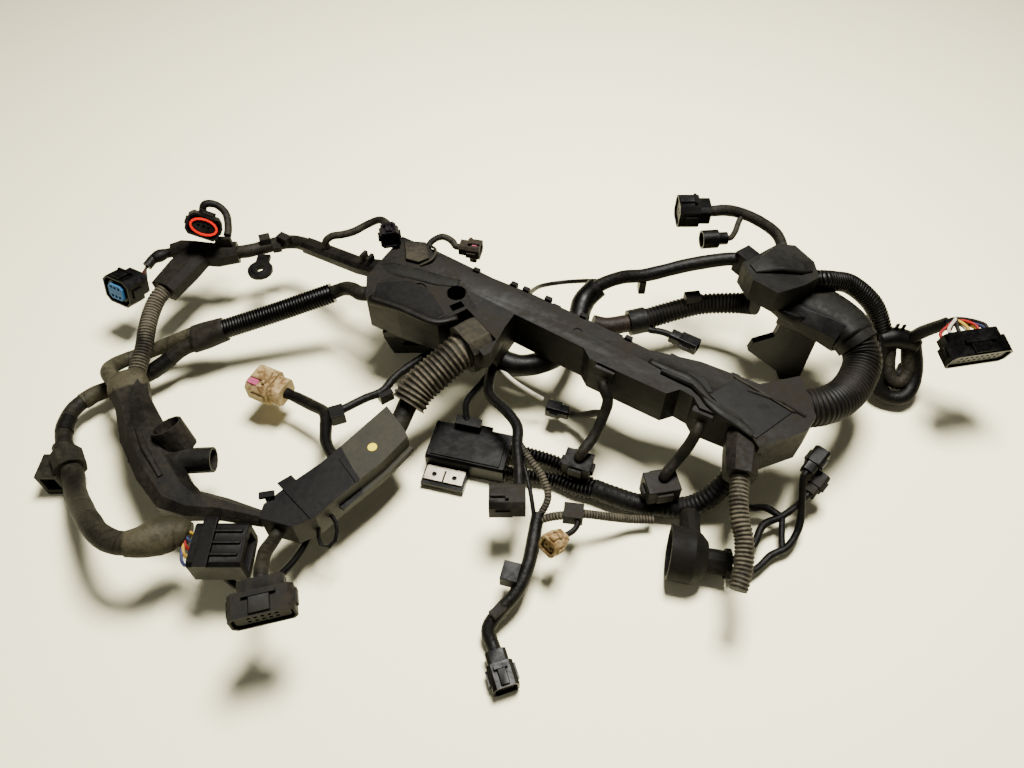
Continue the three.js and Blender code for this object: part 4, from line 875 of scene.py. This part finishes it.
tube("red_loop_skin", [spot(RED, -REAR_GAP), spot(RED, -8), (-281, 130.5, 99), (-272, 133.4, 97),
     (-264, 130, 90), (-261, 118, 82), (-261, 111, 79.4)], 7, "loom", "red_loop_cable", lumps=0.4)
tube("upper_bundle", [(-255.6, 110.1, 60), (-248, 111.7, 59.8), (-236, 118.5, 58), (-220, 125, 58),
     (-207, 127, 57.5), (-197.9, 123, 58.9), (-192.3, 118.3, 60.9)], 13, "loom",
     "upper_taped_bundle", lumps=1.2)
for i, (size, at, turn) in enumerate((
        ((10, 9, 7), (-232, 121, 66), 20), ((12, 8, 7), (-214, 122, 66), -30),
        ((8, 7, 6), (-221, 116, 60), 15))):
    box("upper_clip_%d" % i, size, at, turn, "grey", "upper_taped_bundle")
tube("back_left_lead", [(-167.4, 97.2, 77), (-168.6, 98.2, 82.7), (-163, 101, 87),
     (-153, 103, 87.5), (-143, 106, 88.5), (-132, 112, 91), (-120, 113, 96)] + into(BACK_LEFT, 6),
     7, "loom", "back_lead_left", lumps=0.8)
tube("back_right_lead", [(-76, 80.8, 86), (-72, 90, 90), (-62, 95, 92), (-53, 91, 90)]
     + into(BACK_RIGHT, 4), 6, "loom", "back_lead_right", lumps=0.8)
tube("sleeved_lead_skin", [(-62, 6, 59.6), (-62.3, 5.5, 55), (-66, -2, 51), (-78, -11, 49),
     (-98, -27, 45), (-108, -40, 42), (-122, -46, 40), (-137, -56, 40), (-151, -66, 40)], 7,
     "dark_loom", "sleeved_lead")
tube("beige_lead", into(BEIGE, 6)[::-1] + [(-167, -50, 36), (-154, -60, 39), (-150, -76, 42),
     (-147, -92, 45), (-141, -104.3, 47.5), (-134.2, -111.4, 48)], 10, "dark_loom", "sleeved_lead",
     lumps=0.9)
box("lead_clip_one", (12, 9, 10), (-106, -42, 39), 35, "black", "sleeved_lead")
box("lead_clip_two", (12, 12, 12), (-143, -63, 40), 20, "black", "sleeved_lead")
tube("branch_one_skin", [(70.9, -60.2, 80), (71, -64, 78), (75, -70, 69), (72, -76, 56),
     (64, -88, 43), (56, -97, 38), (54, -99, 34.6), (54, -99, 30.7)], 9, "loom", "branch_one",
     lumps=0.8)
tube("branch_one_side", [(73, -75, 58), (67, -67, 48), (60, -60, 36), (54, -52, 25)]
     + into(SMALL, 2), 6, "loom", "branch_one")
tube("branch_two_skin", [(139.6, -101.4, 80), (138, -105, 79), (134, -109, 66), (127, -113, 51),
     (120, -119, 44), (117.5, -121.6, 41.5), (117.5, -121.6, 38)], 9, "loom", "branch_two",
     lumps=0.8)
FORK = (4, -98, 55)
CENTRAL = "centre_loom"
tube("centre_stem", [(-12, -4, 59.3), (-12, -4.3, 55), (-14, -13, 51), (-18, -28, 49),
     (-18, -50, 51), (-4, -70, 54), (4, -85, 55), (4, -104, 55), (5.2, -122, 54), (5.4, -130, 53),
     (5.4, -138.2, 53)], 9, "dark_loom", CENTRAL, lumps=0.6)
tube("box_lead", [(-17, -24, 49.6), (-27, -35, 43), (-38, -48, 36), (-38, -58, 28), (-36, -62, 25)],
     6, "dark_loom", CENTRAL)
box("box_lead_plug", (22, 9, 7), (-36, -61.5, 25.6), -14, "black", CENTRAL)
tube("thin_strap", [(-15, -16, 51), (0, -32, 47), (14, -37, 38), (26, -39, 29.5)], 3.6, "wire_4",
     CENTRAL, sides=12)
tube("curved_lead", [FORK, (13, -114, 54), (23, -128, 50), (27, -142, 44), (22, -152, 38),
     (18, -158, 36)], 6, "pale_conduit", CENTRAL, 2.4, 0.5)
tube("thin_lead", [FORK, (10, -122, 51), (14, -140, 46), (17, -158, 36)], 3.4, "dark_loom",
     CENTRAL, sides=12)
tube("lower_loom", [(20, -152, 37.5), (18, -160, 35), (12, -189, 29), (3, -208, 23),
     (-10, -221, 17), (-17, -231, 12)] + into(BOTTOM, 5), 10.5, "dark_loom", CENTRAL, lumps=0.8)
tube("side_run", [(17, -158, 36), (28, -155, 37), (38, -154, 38), (52, -151, 35), (76, -148, 24),
     (94, -145, 15), (110, -144, 12.5)], 7, "pale_conduit", CENTRAL, 2.4, 0.6)
tube("two_way_lead", [(46, -152.6, 37), (49, -160, 38), (45, -167, 38.2)] + into(TWO_WAY, 3), 4.5,
     "dark_loom", CENTRAL, sides=12)
box("pale_clip", (15, 13, 11), (46, -152, 37), -8, "grey", CENTRAL)
box("lower_clip", (13, 15, 12), (-1, -196, 27), -15, "black", CENTRAL)
box("lower_collar", (12, 7, 13), (-10, -221, 17), 40, "grey", CENTRAL)
THIN = "thin_leads"
tube("thin_lead_a", [(163.4, -187.4, 14), (169, -188.2, 12.5), (177, -187, 9), (186, -182, 8),
     (198, -172, 8), (211, -166, 10), (221, -153, 16), (224, -136, 28), (224, -126, 38)]
     + into(BLACK_PLUG, 3), 6, "dark_loom", THIN, lumps=0.6)
tube("thin_lead_b", [(163.4, -181.4, 21), (169, -181.6, 20.8), (183, -168, 18), (194, -151, 17),
     (209, -144, 17), (221, -137, 20), (226, -134, 25)] + into(RIBBED_PLUG, 3), 6, "dark_loom",
     THIN, lumps=0.6)
tube("thin_lead_c", [(170, -131.9, 32.2), (176, -138, 26), (186, -138, 21), (198, -137, 19),
     (209, -144, 17)], 6, "dark_loom", THIN)
tube("thin_ribbon", [(210, -144, 17), (208, -158, 12), (207, -170, 8)], 5, "dark_loom", THIN,
     sides=12)
box("thin_tape", (6, 12, 11), (169, -185, 17), 0, "black", THIN, 1.5)
LOOPS = "right_loops"
tube("outer_tube_skin", [(248.6, 28, 104), (256, 28.3, 103.6), (268, 32, 99), (286, 36, 91),
     (310, 29, 73), (322, 17, 52), (326, 8, 38)], 17, "shiny_conduit", LOOPS, 2.8, 0.9, sides=26)
tube("loop_loom", [(325.5, 9, 40), (325, 0, 26), (327, -12, 13), (337, -20, 6), (348, -14, 7),
     (352, -2, 16), (349, 8, 32), (344, 10, 48), (346, 6, 62), (352, 2, 74), (358, -2, 84)], 11,
     "dark_loom", LOOPS, lumps=1.2)
tube("loop_inner", [(325, -2, 22), (333, -8, 22), (341, -6, 22), (347, 2, 24)], 9, "dark_loom",
     LOOPS)
tube("loop_outer", [(322, 10, 46), (318, -2, 34), (319, -14, 20), (328, -22, 12), (342, -24, 12),
     (352, -14, 18), (354, 0, 30), (351, 10, 42)], 14, "dark_loom", LOOPS, lumps=1.6)
tube("loop_middle", [(330, 12, 46), (330, 0, 32), (332, -10, 22), (340, -14, 20), (347, -6, 26),
     (346, 8, 40)], 12, "loom", LOOPS, lumps=1.2)
form("loop_wrap", [(318, 10, 48, 15, 16), (330, 12, 50, 19, 19), (342, 10, 49, 18, 18),
     (352, 6, 46, 12, 12)], "black", LOOPS)
for i, (x, z) in enumerate(((330, 61), (336, 60))):
    box("loop_tie_%d" % i, (3, 2, 9), (x, 14, z), 20, "black", LOOPS)
for i, y in enumerate((-19, -15, -11, -7, -3, 1, 5, 9, 13, 17, 20)):
    rise = 3 if i % 2 else -3
    tube("fan_wire_%d" % i, [(354, 1, 78), (360, -4, 89 + abs(y) * 0.1 + rise / 2),
         spot(WIDE_BLACK, -5, y, rise), spot(WIDE_BLACK, -REAR_GAP, y, rise)], 2.6,
         "wire_%d" % (5, 4, 2, 0, 5, 1, 4, 2, 1, 0, 3)[i], LOOPS, sides=10)
tube("top_loom_skin", [(230.1, 58.9, 105), (231, 65, 105.4), (227, 76, 111), (211, 86, 118),
     (194, 92, 122), (181, 91, 125)] + into(SQUARE, 4), 10, "loom", "top_loom", lumps=0.9)
tube("round_lead", [(198, 91, 121), (194, 84, 118), (190, 75, 115)] + into(ROUND, 3), 5, "loom",
     "top_loom", sides=14)

# %% [markdown]
# ## Free branches
# Five branches end freely, most of them in a plug.

# %% [markdown]
# ## Floor and light
# The photograph shows a pale surface under one lamp, a little behind and to the right. Several
# lamps would fill the shadows, so one soft lamp does the work and a faint one keeps the left side
# readable.

# %% Floor and light
REACH = 4
FLOOR_COLOUR = (0.78, 0.74, 0.5, 1)
FLOOR_ROUGHNESS = 0.75
AMBIENT_COLOUR = (1.0, 0.97, 0.92, 1)
AMBIENT_STRENGTH = 0.12
floor_mesh = bpy.data.meshes.new("floor")
corners = [(-REACH, -REACH, 0), (REACH, -REACH, 0), (REACH, REACH, 0), (-REACH, REACH, 0)]
floor_mesh.from_pydata(corners, [], [(0, 1, 2, 3)])
floor = link("floor", floor_mesh)
floor_material, _, floor_shader, _ = blank("floor")
floor_shader.inputs["Base Color"].default_value = FLOOR_COLOUR
floor_shader.inputs["Roughness"].default_value = FLOOR_ROUGHNESS
floor_mesh.materials.append(floor_material)

world = bpy.data.worlds.new("world")
world.use_nodes = True
background = world.node_tree.nodes["Background"]
background.inputs[0].default_value = AMBIENT_COLOUR
background.inputs[1].default_value = AMBIENT_STRENGTH
scene.world = world


def light(name, at, watts, size, colour):
    """A square lamp that faces the middle of the harness."""
    data = bpy.data.lights.new(name, "AREA")
    data.energy = watts
    data.size = size
    data.color = colour
    obj = link(name, data)
    obj.location = at
    obj.rotation_euler = (-Vector(at)).to_track_quat("-Z", "Y").to_euler()


light("key", at=(0.12, 0.22, 1.15), watts=74, size=0.34, colour=(1.0, 0.97, 0.9))
light("fill", at=(-1.2, -0.9, 1.2), watts=3, size=1.2, colour=(0.95, 0.97, 1.0))
print("lights:", [lamp.name for lamp in bpy.data.lights])
